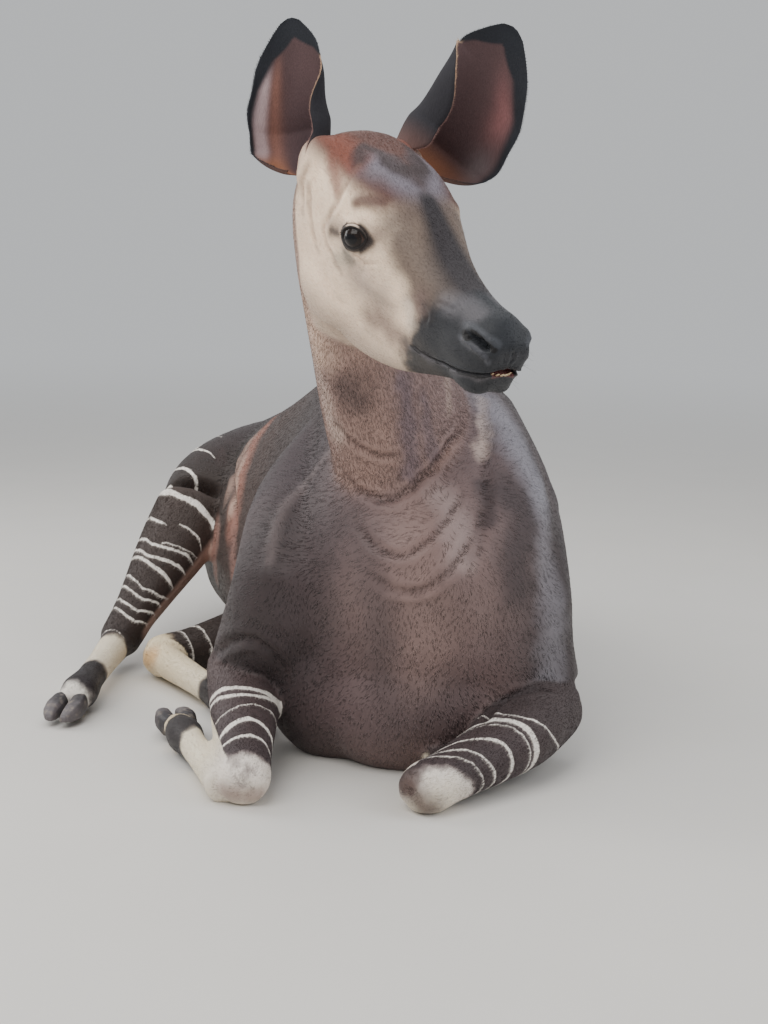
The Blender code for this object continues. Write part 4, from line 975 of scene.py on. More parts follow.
def white_bands(points):
    """Signed distance inside the white stripes, below zero outside them."""
    band = np.full(len(points), -0.01)
    wobble = 0.0022 * ripple(points, 0.060, 51) + 0.0009 * ripple(points, 0.018, 52)
    swell = 1.0 + 0.25 * ripple(points, 0.070, 53)

    def widen(pick, half, distance):
        band[pick] = np.maximum(band[pick], half * swell[pick] - distance)

    for leg, rings in RINGS.items():
        axis = leg_axis(leg)
        pick, along, angle = round_limb(points, axis, np.arange(len(points)), RING_REACH)
        for mean, cosine, sine, half in rings:
            ring = mean + cosine * np.cos(angle) + sine * np.sin(angle)
            widen(pick, half, np.abs(along - wobble[pick] - ring))
    place = (points - SHIFT)[:, 1:] - HAUNCH
    pick = np.nonzero((points[:, 0] > SHIFT[0] + 0.02) & (np.abs(place[:, 0] + 0.15) < 0.35))[0]
    down, across = place[pick] @ THIGH_WAY, place[pick] @ STRIPE_WAY
    taper = smoothstep(-0.13, -0.03, across + 0.03 * ripple(points[pick], 0.09, 54))
    for place_on, half in HAUNCH_STRIPES:
        bow = down - wobble[pick] * 2.0 - place_on + 0.35 * across ** 2
        widen(pick, half * taper, np.abs(bow) + 0.02 * (taper <= 0.0))
    outside = np.nonzero(points[:, 0] < body(HIP_RIGHT)[1, 0])[0]
    pick, along, angle = round_limb(points, leg_axis("hind_right"), outside, THIGH_REACH)
    along -= wobble[pick]
    turn = np.degrees(angle)
    for half, knots in THIGH_STRIPES:
        turns, places = zip(*knots)
        beyond = np.maximum(turns[0] - turn, 0.0) + np.maximum(turn - turns[-1], 0.0)
        taper = np.clip((turn - turns[0]) / 16.0, 0.5, 1.0)
        widen(pick, half * taper, np.abs(along - np.interp(turn, turns, places)) + 0.0008 * beyond)
    return band


def round_limb(points, axis, allowed, reaches):
    """Allowed points within reach of a limb's axis, with their length along it and angle round it."""
    along, angle, distance = limb_frame(points[allowed], axis)
    keep = distance < np.interp(along, *reaches)
    return allowed[keep], along[keep], angle[keep]


def paint_skin(mesh, flesh):
    """Give the skin its tint, bands and zones; also return each point's shares of the nodes."""
    points = points_of(mesh)
    owner = nearest_node(points, flesh)
    shares = np.zeros((len(points), len(SHARES)))
    for index, name in enumerate(flesh):
        column = [name.startswith(part) for part in SHARES].index(True)
        shares[owner == index, column] = 1.0
    shares = spread_values(shares, edges_of(mesh), 12)
    zone = zones_of(shares)
    colours = paint_trunk(points, normals_of(mesh), zone)
    near_head = shares[:, 2] > 0.0
    amount = smoothstep(0.25, 0.75, shares[near_head, 2])[:, None]
    colours[near_head] += (paint_head(points[near_head]) - colours[near_head]) * amount
    for index, leg in enumerate(LEGS):
        near = shares[:, 3 + index] > 0.0
        amount = smoothstep(0.2, 0.8, shares[near, 3 + index])[:, None]
        colours[near] += (paint_leg(points[near], leg) - colours[near]) * amount
    set_colour(mesh, "tint", colours)
    set_value(mesh, "band", bands_on(points, shares))
    set_vector(mesh, "zone", zone)
    return shares, colours


def zones_of(shares):
    """Shares of body and legs, neck, and head."""
    return np.stack((1.0 - shares[:, 1] - shares[:, 2], shares[:, 1], shares[:, 2]), axis=1)


def bands_on(points, shares):
    """Stripes lie on the legs and the rump, not on the neck and head."""
    off = smoothstep(0.05, 0.3, shares[:, 1] + shares[:, 2])
    place = points - SHIFT
    start = np.where(place[:, 0] < 0.0, THIGH_START, HAUNCH_START)
    front = smoothstep(start, start - 0.05, place[:, 1]) * smoothstep(0.30, 0.60, shares[:, 0])
    return white_bands(points) - 0.02 * np.maximum(off, front)


# Coat: short flat tufts over the skin
TUFT_FACES = ((0, 1, 2), (3, 1, 0), (3, 2, 1), (3, 0, 2))
TUFT_POINTS = 4
PATCH = 0.003
PATCH_CORNERS = ((0.0, 0.0), (1.0, 0.0), (0.5, 0.2), (0.5, 1.0))
TUFT_SINK = 0.0004
TUFT_LIFT = 0.0006
BODY_LIE = np.array((0.0, 0.80, -0.50))
TRUNK_AXIS = ((-0.02, -0.60, 0.24), (0.03, 0.0, 0.25), (-0.02, 0.85, 0.27))
HEAD_AXIS = ((-0.10, 0.0, -0.02), (0.52, 0.0, -0.02))
# Places along the head, and how long the face's tufts are there
FACE_SHORTER = ((0.10, 0.28, 0.40), (1.0, 0.75, 0.45))
COATS = {
    # share of the skin's nodes (torso, neck, head, then the legs), tufts, length, half width
    "coat_body_a": ((0,), 46000, 0.0125, 0.00120),
    "coat_body_b": ((0,), 46000, 0.0110, 0.00110),
    "coat_neck": ((1,), 32000, 0.0100, 0.00095),
    "coat_head": ((2,), 46000, 0.0055, 0.00040),
    "coat_legs_right": ((3, 5), 42000, 0.0080, 0.00052),
    "coat_legs_left": ((4, 6), 42000, 0.0080, 0.00052),
}


def repeated_mesh(name, points, pattern, each, patches):
    """One mesh of many small closed shapes that share one pattern of faces, each a patch of the map."""
    count = len(points) // each
    corners = np.concatenate([np.array(face) for face in pattern])
    sizes = np.array([len(face) for face in pattern])
    loops = (corners[None, :] + each * np.arange(count)[:, None]).ravel()
    starts = np.concatenate(((0,), np.cumsum(np.tile(sizes, count))[:-1]))
    mesh = bpy.data.meshes.new(name)
    mesh.vertices.add(len(points))
    mesh.vertices.foreach_set("co", points.astype(np.float32).ravel())
    mesh.loops.add(len(loops))
    mesh.loops.foreach_set("vertex_index", loops.astype(np.int32))
    mesh.polygons.add(len(starts))
    mesh.polygons.foreach_set("loop_start", starts.astype(np.int32))
    mesh.update(calc_edges=True)
    mesh.validate()
    layer = mesh.uv_layers.new(name="OFBake")
    layer.data.foreach_set("uv", patches[loops].astype(np.float32).ravel())
    return mesh


def coat_lie(points, normals, zone, legs):
    """Unit direction of the hair: back and down the body, down the neck and legs, back over the face."""
    neck = body(NECK_LINE)
    way = zone[:, :1] * BODY_LIE + zone[:, 1:2] * unit(neck[0] - neck[-1]) - zone[:, 2:3] * HEAD_F
    for index, places in enumerate(LEGS.values()):
        way += legs[:, index:index + 1] * (limb_way(points, body(places)) - way)
    way -= normals * (way * normals).sum(1, keepdims=True)
    return unit_rows(way)


def limb_way(points, line):
    """Unit direction of the nearest stretch of a limb, for each point."""
    best = np.full(len(points), np.inf)
    way = np.zeros((len(points), 3))
    for start, end in zip(line, line[1:]):
        length = np.linalg.norm(end - start)
        t = np.clip((points - start) @ (end - start) / length ** 2, 0.0, 1.0)
        distance = np.linalg.norm(points - start - t[:, None] * (end - start), axis=1)
        nearer = distance < best
        best[nearer] = distance[nearer]
        way[nearer] = (end - start) / length
    return way


def unwrap(points, column):
    """Places on an unwrap of the skin's own shape: round and along the part's axis."""
    axes = (body(TRUNK_AXIS), body(NECK_LINE), head(HEAD_AXIS)) + tuple(leg_axis(leg) for leg in LEGS)
    along, angle, _ = limb_frame(points, axes[column])
    share = (along - along.min()) / (along.max() - along.min())
    return 0.01 + 0.97 * np.stack(((angle + math.pi) / (2 * math.pi), share), axis=1)


def bare_places(points, normals):
    """Where no tuft grows: lid rims, the mouth's gap, the nostrils and what lies on the floor."""
    bare = (points[:, 2] < 0.004) | ((normals[:, 2] < -0.75) & (points[:, 2] < 0.05))
    bare |= near_eyes(points, 0.050, 0.0040)
    h = in_head(points)
    out = np.abs(h[:, 1])
    high = np.abs(h[:, 2] - MOUTH_GAP_UP + MOUTH_GAP_SLOPE * out)
    bare |= (h[:, 0] > 0.450) & (out < 0.027) & (high < 0.0085)
    for side, _ in EYES:
        pick, distance, _ = near_line(points, smooth_line(head(NOSTRIL_LINE, side)), 0.008, snap=0.014)
        bare[pick[distance < 0.0075]] = True
    return bare


def sample_skin(mesh, shares, columns, count, draw):
    """Random places on the parts of the skin that belong to these nodes, spread evenly by area."""
    mesh.calc_loop_triangles()
    flat = np.empty(len(mesh.loop_triangles) * 3, np.int32)
    mesh.loop_triangles.foreach_get("vertices", flat)
    triangles = flat.reshape(-1, 3)
    belongs = np.argmax(shares, axis=1)[triangles[:, 0]]
    triangles = triangles[np.isin(belongs, columns)]
    points = points_of(mesh)
    a, b, c = (points[triangles[:, i]] for i in range(3))
    area = np.linalg.norm(np.cross(b - a, c - a), axis=1)
    chosen = draw.choice(len(triangles), size=count, p=area / area.sum())
    u, v = np.sqrt(draw.random(count)), draw.random(count)
    weights = np.stack((1.0 - u, u * (1.0 - v), u * v), axis=1)
    return triangles[chosen], weights


def lay_tufts(name, mesh, shares, tints, tree, seed, material):
    """One coat piece: tapering flat tufts that lie along the skin and overlap."""
    columns, count, length, wide = COATS[name]
    draw = np.random.default_rng(seed)
    corners, weights = sample_skin(mesh, shares, columns, count, draw)

    def read(values):
        return (values[corners] * weights[..., None]).sum(1)

    keep = ~bare_places(read(points_of(mesh)), unit_rows(read(normals_of(mesh))))
    corners, weights = corners[keep], weights[keep]
    roots, normals = read(points_of(mesh)), unit_rows(read(normals_of(mesh)))
    share = read(shares)
    way = swirled(coat_lie(roots, normals, zones_of(share), share[:, 3:]), roots, normals, draw)
    reach = length * draw.uniform(0.65, 1.15, len(roots))
    reach *= np.where(share[:, 2] > 0.5, np.interp(in_head(roots)[:, 0], *FACE_SHORTER), 1.0)
    half = wide * draw.uniform(0.75, 1.25, len(roots))
    points = tuft_points(roots, normals, way, reach, half, tree, draw)
    coat_mesh = repeated_mesh(name, points, TUFT_FACES, TUFT_POINTS, tuft_patches(roots, share, columns))
    shade = np.clip(1.0 + 0.07 * draw.normal(size=len(roots)), 0.6, 1.4)
    set_colour(coat_mesh, "tint", np.repeat(read(tints) * shade[:, None], TUFT_POINTS, axis=0))
    set_value(coat_mesh, "band", np.repeat(bands_on(roots, share), TUFT_POINTS))
    set_vector(coat_mesh, "zone", np.repeat(zones_of(share), TUFT_POINTS, axis=0))
    finish_piece(link(name, coat_mesh), material)


def swirled(way, roots, normals, draw):
    """The lie of the hair, turned a little this way and that."""
    swirl = 0.16 * ripple(roots, 0.12, 61) + draw.normal(size=len(roots)) * 0.08
    return unit_rows(way + np.cross(way, normals) * swirl[:, None])


def tuft_points(roots, normals, way, reach, half, tree, draw):
    """Each tuft's two feet, its low crown and its tip, which lies close over the skin."""
    tips = roots + way * reach[:, None]
    for index, spot in enumerate(tips.tolist()):
        near, normal, _, _ = tree.find_nearest(spot)
        tips[index] = near + normal * TUFT_SINK
    tips += normals * (draw.random(len(roots)) ** 4 * 0.05 * reach)[:, None]
    feet = roots - normals * TUFT_SINK
    aside = np.cross(way, normals) * half[:, None]
    crown = feet + normals * (0.0005 + 0.12 * half)[:, None]
    points = np.stack((feet - aside, feet + aside, crown, tips), axis=1)
    return off_floor(points.reshape(-1, 3), TUFT_LIFT)


def tuft_patches(roots, share, columns):
    """Places of the tufts' corners on the map; two legs in one piece have half of it each."""
    patches = unwrap(roots, columns[0])
    if len(columns) > 1:
        second = np.argmax(share, axis=1) == columns[1]
        patches[second] = unwrap(roots, columns[1])[second]
        patches[:, 0] = 0.5 * patches[:, 0] + 0.5 * second
    return (patches[:, None, :] + PATCH * np.array(PATCH_CORNERS)).reshape(-1, 2)


def make_coat(mesh, shares, tints, material):
    tree = BVHTree.FromPolygons(points_of(mesh).tolist(), [face.vertices[:] for face in mesh.polygons])
    for seed, name in enumerate(COATS, start=70):
        lay_tufts(name, mesh, shares, tints, tree, seed, material)


# Ears
EARS = {
    "ear_right": {"root": (-0.177, -0.712, 1.024), "tip": (-0.202, -0.655, 1.250),
                  "opening": (-0.42, -0.90, -0.05), "broad": 0.065, "swing": -0.026, "curl": 1.25,
                  "lateral": -1.0, "fold": 0.55, "seed": 21},
    "ear_left": {"root": (-0.012, -0.650, 1.048), "tip": (0.150, -0.640, 1.247),
                 "opening": (0.15, -0.98, 0.00), "broad": 0.086, "swing": 0.039, "curl": 1.00,
                 "lateral": 1.0, "fold": 1.00, "seed": 22},
}
EAR_HEIGHTS = (0.00, 0.08, 0.18, 0.30, 0.44, 0.58, 0.70, 0.80, 0.88, 0.945, 0.985, 1.00)
EAR_WIDTHS = (0.46, 0.72, 0.92, 1.00, 1.00, 0.95, 0.85, 0.71, 0.53, 0.34, 0.18, 0.05)
EAR_CURLS = (2.30, 2.10, 1.70, 1.35, 1.10, 0.92, 0.78, 0.68, 0.58, 0.48, 0.40, 0.40)
# Heights, and how far across the black of each edge begins there
EAR_OUTER_BLACK = ((0.0, 0.3, 0.6, 0.78, 0.88, 0.93), (0.90, 0.89, 0.83, 0.60, 0.05, -0.6))
EAR_INNER_BLACK = ((0.0, 0.70, 0.80, 0.88, 0.93), (-1.3, -1.05, -0.75, -0.2, 0.2))
EAR_ROWS = 84
EAR_COLUMNS = 60
EAR_THICKNESS = 0.0036
EAR_HAIR_WIDTH = 0.00022
EAR_HAIR_STEPS = 3
# Fringes on the inner and the outer edge: column, step inwards, hairs, length
EAR_FRINGES = ((0, 1, 900, 0.0065), (EAR_COLUMNS - 1, -1, 900, 0.0055))


def ear_grid(spec):
    """Inner and outer points of an ear's cup, with the height and side of each point."""
    root, tip = body(spec["root"])[0], body(spec["tip"])[0]
    along = unit(tip - root)
    length = np.linalg.norm(tip - root)
    opening = np.array(spec["opening"])
    facing = unit(opening - along * (opening @ along))
    side = np.cross(along, facing)
    side = side if side[0] > 0.0 else -side
    t = np.linspace(0.0, 1.0, EAR_ROWS)[:, None]
    v = np.linspace(-1.0, 1.0, EAR_COLUMNS)[None, :] * np.ones_like(t)
    edge_on = np.abs(v)
    curl = curve_at(EAR_HEIGHTS, EAR_CURLS, t)
    curl = np.where(curl < math.pi / 2, np.minimum(curl * spec["curl"], math.pi / 2), curl)
    opened = np.minimum(curl, math.pi / 2)
    radius = curve_at(EAR_HEIGHTS, EAR_WIDTHS, t) * spec["broad"] / np.sin(opened)
    lateral = v * spec["lateral"]
    fold = spec["fold"] * np.sin(np.pi * np.clip(t / 0.72, 0.0, 1.0)) ** 0.7
    angle = v * np.where(lateral < 0.0, curl + fold * edge_on ** 2, curl)
    squeeze = np.where(lateral < 0.0, 1.0 / (1.0 + 0.35 * fold * edge_on ** 3), 1.0)
    swing = spec["swing"] * np.sin(t ** 0.55 * np.pi)
    centre = root + along * (t * length)[..., None] + side * swing[..., None]
    ripples = 0.0016 * np.sin(v * 9.0 + 1.2 * np.sin(t * 5.0)) * np.sin(np.pi * np.clip(t / 0.85, 0, 1))
    ripples = ripples * (1.0 - edge_on ** 4)
    edge = 0.0022 * np.sin(t * 21.0 + v * 2.0) * edge_on ** 3
    edge = edge * np.clip(t * 4, 0, 1) * np.clip((1 - t) * 5, 0, 1)
    surfaces = []
    for offset in (0.0, 1.0):
        thick = EAR_THICKNESS * offset * (1.0 - 0.62 * edge_on ** 3) * (1.0 - 0.45 * t)
        reach = radius * squeeze + thick - ripples * (1.0 - offset) + edge
        depth = reach * np.cos(angle) - radius * np.cos(opened) + 0.010 * np.sin(t * np.pi)
        points = centre + side * (reach * np.sin(angle))[..., None] - facing * depth[..., None]
        surfaces.append(points.reshape(-1, 3))
    return surfaces, t.repeat(EAR_COLUMNS, axis=1).ravel(), lateral.ravel()


def make_ear(name, spec, material):
    """One cupped ear, its inside and back painted apart."""
    (inner, outer), t, v = ear_grid(spec)
    mesh = mesh_from(name, np.vstack((inner, outer)), ear_faces(len(inner)))
    with editing(mesh) as work:
        bmesh.ops.recalc_face_normals(work, faces=work.faces)
    mesh.shade_smooth()
    inside = ear_inside(t, v, spec)
    set_colour(mesh, "tint", np.vstack((inside, ear_back(t))))
    finish_piece(link(name + "_skin", mesh), material, (name,))
    make_ear_hairs(name, spec, inner, outer, inside, material)


def ear_faces(count):
    """Faces of the cup's two sides, count points each, and of its four rims."""
    faces = []
    for row in range(EAR_ROWS - 1):
        for column in range(EAR_COLUMNS - 1):
            a = row * EAR_COLUMNS + column
            quad = (a, a + 1, a + EAR_COLUMNS + 1, a + EAR_COLUMNS)
            faces.append(quad)
            faces.append(tuple(count + i for i in reversed(quad)))
        for a in (row * EAR_COLUMNS, row * EAR_COLUMNS + EAR_COLUMNS - 1):
            faces.append((a, a + EAR_COLUMNS, a + EAR_COLUMNS + count, a + count))
    for column in range(EAR_COLUMNS - 1):
        for a in (column, (EAR_ROWS - 1) * EAR_COLUMNS + column):
            faces.append((a, a + 1, a + 1 + count, a + count))
    return faces


def make_ear_hairs(name, spec, inner, outer, inside, material):
    """Short fringe along both edges of the ear, in the colours of the cup below it."""
    draw = np.random.default_rng(spec["seed"])
    grid = inner.reshape(EAR_ROWS, EAR_COLUMNS, 3)
    back = outer.reshape(EAR_ROWS, EAR_COLUMNS, 3)
    roots, ways, lengths, bends = [], [], [], []
    for column, inward, count, reach in EAR_FRINGES:
        for _ in range(count):
            row = int(draw.integers(3, EAR_ROWS - 2))
            root = grid[row, column] * 0.5 + back[row, column] * 0.5
            outward = unit(grid[row, column] - grid[row, column + 4 * inward])
            upward = unit(grid[row + 1, column] - grid[row, column])
            way = outward * draw.uniform(0.2, 0.9) + upward * draw.uniform(0.6, 1.2)
            way = unit(way + draw.normal(size=3) * 0.15)
            roots.append(root - way * 0.001)
            ways.append(way)
            lengths.append(reach * draw.uniform(0.5, 1.1) * min(1.0, 0.35 + 2.5 * (1.0 - row / EAR_ROWS)))
            bends.append(draw.normal(size=3) * 0.10)
    mesh = hairs_mesh(name + "_hairs", roots, ways, lengths, EAR_HAIR_WIDTH, bends, EAR_HAIR_STEPS)
    tree = KDTree(2 * len(inner))
    for index, spot in enumerate(np.vstack((inner, outer))):
        tree.insert(spot, index % len(inner))
    tree.balance()
    each = EAR_HAIR_STEPS * len(HAIR_TURNS)
    owners = [tree.find(spot)[1] for spot in points_of(mesh)[::each]]
    set_colour(mesh, "tint", np.repeat(inside[owners], each, axis=0))
    finish_piece(link(name + "_hairs", mesh), material)


def ear_inside(t, v, spec):
    """Colours of the cup, v running from the inner edge -1 to the outer edge 1."""
    right = spec["lateral"] < 0.0
    tint = Tint(np.zeros((len(t), 3)), srgb(92, 74, 75), 0.0)
    # Painted shade deep in the cup, stronger in the right ear.
    hollow = np.exp(-((v + 0.1) / 0.38) ** 2) * smoothstep(0.75, 0.2, t)
    tint.cover(srgb(58, 48, 52), (0.75 if right else 0.25) * hollow)
    tint.cover(srgb(112, 86, 82), 0.7 * np.exp(-((v + 0.55) / 0.16) ** 2) * smoothstep(0.6, 0.3, t))
    if right:
        lit = smoothstep(0.50, 0.68, v) * smoothstep(0.98, 0.86, v)
        tint.cover(srgb(186, 164, 166), lit * smoothstep(0.80, 0.62, t) * smoothstep(0.05, 0.20, t))
        tint.cover(srgb(150, 108, 96), 0.8 * np.exp(-((v - 0.46) / 0.12) ** 2) * smoothstep(0.88, 0.6, t))
        tint.cover(srgb(150, 104, 80), smoothstep(0.22, 0.08, t) * smoothstep(0.2, 0.5, v))
    else:
        glow = np.exp(-((v - 0.62 + 1.5 * np.clip(t - 0.6, 0, 1)) / 0.22) ** 2)
        tint.cover(srgb(146, 102, 102), 0.9 * glow * np.exp(-((t - 0.58) / 0.17) ** 2))
        low = np.exp(-((v - 0.62) / 0.22) ** 2) * np.exp(-((t - 0.25) / 0.13) ** 2)
        tint.cover(srgb(122, 112, 114), 0.8 * low)
        tint.cover(srgb(150, 102, 78), smoothstep(0.26, 0.08, t) * np.exp(-((v - 0.15) / 0.45) ** 2))
    tint.cover(srgb(150, 118, 112), 0.85 * smoothstep(-0.62, -0.80, v) * smoothstep(0.72, 0.50, t))
    edge = smoothstep(-0.90, -0.975, v) * smoothstep(0.86, 0.78, t) * smoothstep(0.3, 0.5, t)
    tint.cover(srgb(200, 168, 142), edge)
    rim = np.interp(t, *EAR_OUTER_BLACK)
    inner_rim = np.interp(t, *EAR_INNER_BLACK)
    black = smoothstep(rim - 0.10, rim + 0.08, v)
    black = np.maximum(black, smoothstep(inner_rim + 0.08, inner_rim - 0.05, v))
    tint.cover(srgb(50, 52, 57), black)
    return tint.colours


def ear_back(t):
    tint = Tint(np.zeros((len(t), 3)), srgb(47, 46, 50), 0.0)
    tint.cover(srgb(96, 74, 70), smoothstep(0.22, 0.0, t))
    return tint.colours


def ear_material():
    material, tree, shader = new_material("okapi_ear", roughness=0.85, specular_ior_level=0.12)
    place = object_place(tree)
    hair = streaks(tree, place, (0.25, 0.1, 1.0), 0.016, 0.0012)
    shade = calc(tree, "MULTIPLY_ADD", hair, 0.9, 0.55)
    colour_in(tree, shader, shaded(tree, painted(tree), shade))
    bump_in(tree, shader, hair, 0.7, 0.0010)
    return material


# Eyes
def gaze(side):
    """Outward, along the slit and across it."""
    outward = unit(HEAD_L * side + HEAD_F * EYE_FORWARD)
    slit = HEAD_F * math.cos(EYE_SLANT) + HEAD_U * math.sin(EYE_SLANT)
    slit = unit(slit - outward * (slit @ outward))
    across = np.cross(outward, slit)
    return outward, slit, across if across @ HEAD_U > 0.0 else -across


def make_eye(name, centre, side, material):
    """Eyeball with its cornea, dark iris and level pupil."""
    outward, slit, across = gaze(side)
    rows = []
    for ring in range(EYE_RINGS + 1):
        angle = math.pi * ring / EYE_RINGS
        swell = CORNEA_SWELL * max(0.0, 1.0 - (angle / CORNEA_ANGLE) ** 2)
        for step in range(EYE_SIDES):
            turn = 2 * math.pi * step / EYE_SIDES
            aside = slit * math.cos(turn) + across * math.sin(turn)
            way = outward * math.cos(angle) + aside * math.sin(angle)
            rows.append(centre + way * (EYE_RADIUS + swell))
    mesh = mesh_from(name, rows, ring_faces(EYE_RINGS + 1, EYE_SIDES, close_ends=False))
    with editing(mesh) as work:
        bmesh.ops.remove_doubles(work, verts=work.verts, dist=1e-6)
        bmesh.ops.recalc_face_normals(work, faces=work.faces)
    spots = points_of(mesh) - centre
    angle = np.degrees(np.arccos(np.clip(spots @ outward / np.linalg.norm(spots, axis=1), -1, 1)))
    turn = np.arctan2(spots @ across, spots @ slit)
    set_colour(mesh, "tint", np.array([iris_colour(a, b) for a, b in zip(angle, turn)]))
    mesh.shade_smooth()
    finish_piece(link(name + "_ball", mesh), material, (name,))


def iris_colour(angle, turn):
    """Brown-black iris, its pupil wider than high, and a dark white of the eye beyond."""
    pupil = 17.0 + 6.0 * abs(math.cos(turn)) ** 2
    if angle < pupil:
        return srgb(9, 8, 12)
    if angle < IRIS_ANGLE:
        fade = (angle - pupil) / (IRIS_ANGLE - pupil)
        return srgb(30, 20, 16) * (1.0 - 0.5 * fade ** 3)
    return srgb(66, 48, 42)


def eye_material():
    material, tree, shader = new_material("okapi_eye", roughness=0.10, specular_ior_level=0.30)
    fibre = noise(tree, object_place(tree), 420.0, 3.0)
    shade = calc(tree, "MULTIPLY_ADD", fibre, 0.6, 0.7)
    colour_in(tree, shader, shaded(tree, painted(tree), shade))
    return material


EYE_RINGS = 48
EYE_SIDES = 72
CORNEA_SWELL = 0.0018
CORNEA_ANGLE = math.radians(42.0)
IRIS_ANGLE = 40.0    # degrees from the middle of the pupil


# Hooves
HOOF_VOXEL = 0.0016
HOOF_RING = 0.0042      # from one growth ring to the next
HOOF_LIFT = 0.0004


def make_hooves(material):
    """Two claws on each foot, with growth rings and paler toes."""
    for leg, places in LEGS.items():
        fetlock, toe = body(places)[2:]
        for claw in ("_hoof_a", "_hoof_b"):
            name = leg + claw
            item = melt(name + "_horn", [node_mesh(name)], HOOF_VOXEL, 5)
            mesh = item.data
            points = points_of(mesh)
            along = (points - fetlock) @ unit(toe - fetlock)
            rings = 0.00035 * np.sin(along * 2 * math.pi / HOOF_RING + 1.5 * ripple(points, 0.03, 3))
            points += normals_of(mesh) * rings[:, None]
            set_points(mesh, off_floor(points, HOOF_LIFT))
            span = (along - along.min()) / (along.max() - along.min())
            tint = Tint(points, srgb(50, 47, 50))
            tint.cover(srgb(96, 90, 92), smoothstep(0.15, 0.75, span + 0.12 * ripple(points, 0.02, 5)))
            set_colour(mesh, "tint", tint.colours)
            mesh.shade_smooth()
            finish_piece(item, material, (name,))


def horn_material():
    """Dark horn, streaked along the toe, with pale dust in patches."""
    material, tree, shader = new_material("okapi_hoof", roughness=0.48)
    place = object_place(tree)
    grain = streaks(tree, place, (0.0, 1.0, 0.0), 0.010, 0.0007)
    dust = noise(tree, place, 90.0, 4.0)
    worn = shaded(tree, painted(tree), calc(tree, "MULTIPLY_ADD", grain, 0.7, 0.62))
    dusty = map_range(tree, dust, from_min=0.52, from_max=0.75, to_max=0.45)
    colour_in(tree, shader, blend_colour(tree, dusty, worn, srgb(172, 158, 142)))
    bump_in(tree, shader, grain, 0.35, 0.0005)
    tree.links.new(map_range(tree, dust, to_min=0.38, to_max=0.66), shader.inputs["Roughness"])
    return material


# Teeth
TEETH = 6
TOOTH_STEP = 0.0064
TOOTH_SIDES = 16
# Shares of a tooth's height, with its half width and half depth there
TOOTH_SHARES = (-0.10, 0.25, 0.55, 0.80, 0.94, 1.0)
TOOTH_WIDTHS = (0.0020, 0.0026, 0.0031, 0.0033, 0.0029, 0.0016)
TOOTH_DEPTHS = (0.0026, 0.0025, 0.0021, 0.0014, 0.0009, 0.0004)
GUM_RADII = (0.0095, 0.0195, 0.0080)


def make_teeth(enamel, gum_material):
    """Lower front teeth in a bow, rooted in a pink gum."""
    level = in_head(middle_of("incisors")[None])[0, 2] - 0.006
    gum = link("gum", ball_mesh(head((0.464, 0.0, level))[0], GUM_RADII, HEAD_AXES))
    points, faces = [], []
    for index in range(TEETH):
        place = index - (TEETH - 1) / 2
        bow = 0.010 - 0.0011 * place ** 2
        foot = np.array((0.466 + bow * 0.5, place * TOOTH_STEP * 0.9, level))
        crown = np.array((0.470 + bow, place * TOOTH_STEP, level + 0.0152 - 0.0004 * place ** 2))
        for share, wide, deep in zip(TOOTH_SHARES, TOOTH_WIDTHS, TOOTH_DEPTHS):
            points.append(foot + (crown - foot) * share + tooth_ring(wide, deep))
        faces += ring_faces(len(TOOTH_SHARES), TOOTH_SIDES, index * len(TOOTH_SHARES) * TOOTH_SIDES)
    teeth = link("teeth", mesh_from("teeth", head(np.vstack(points)), faces))
    for item in (teeth, gum):
        item.data.shade_smooth()
    finish_piece(teeth, enamel, ("incisors",))
    finish_piece(gum, gum_material)


def tooth_ring(wide, deep):
    """Flat oval round a tooth, squarer than a circle."""
    turns = 2 * np.pi * np.arange(TOOTH_SIDES) / TOOTH_SIDES
    square = np.copysign(np.abs(np.cos(turns)) ** 0.7, np.cos(turns))
    return np.stack((deep * np.sin(turns), wide * square, 0.0006 * np.sin(turns)), axis=1)


def wet_material(name, dark, light, size, roughness):
    """Wet surface with fine grain of about this size."""
    material, tree, shader = new_material(name, roughness=roughness, coat_weight=0.3, coat_roughness=0.1)
    grain = noise(tree, object_place(tree), 1.0 / size, 4.0)
    colour_in(tree, shader, blend_colour(tree, grain, dark, light))
    bump_in(tree, shader, grain, 0.3, 0.0004)
    return material


# Hairs
HAIR_TURNS = np.radians((0.0, 120.0, 240.0))
LASHES = 46
LASH_LENGTHS = (0.008, 0.014)
LASH_WIDTH = 0.00022
WHISKERS = 22
WHISKER_LENGTHS = (0.012, 0.032)
WHISKER_WIDTH = 0.00016
TAIL_LOCKS = 34
LOCK_HAIRS = 46
LOCK_LENGTHS = (0.09, 0.135)
TAIL_HAIR_WIDTH = 0.0008
TAIL_HAIR_LIFT = 0.0010


def hairs_mesh(name, roots, ways, lengths, width, bends, steps=5):
    """Thin three-sided hairs that taper and bend by a direction, as one mesh."""
    roots, ways, bends = (np.array(rows, float)[:, None, :] for rows in (roots, ways, bends))
    lengths = np.array(lengths, float)[:, None, None]
    shares = np.linspace(0.0, 1.0, steps)[None, :, None]
    line = roots + ways * lengths * shares + bends * lengths * shares ** 2
    upright = np.abs(ways[..., 2:]) > 0.9
    side = unit_rows(np.cross(ways, np.where(upright, (1.0, 0.0, 0.0), (0.0, 0.0, 1.0))))
    up = np.cross(side, ways)
    size = width * (1.0 - 0.85 * shares)
    rings = [line + size * (math.cos(turn) * side + math.sin(turn) * up) for turn in HAIR_TURNS]
    points = np.stack(rings, axis=2).reshape(-1, 3)
    faces = []
    for hair in range(len(roots)):
        faces += ring_faces(steps, len(HAIR_TURNS), hair * steps * len(HAIR_TURNS))
    return mesh_from(name, points, faces)


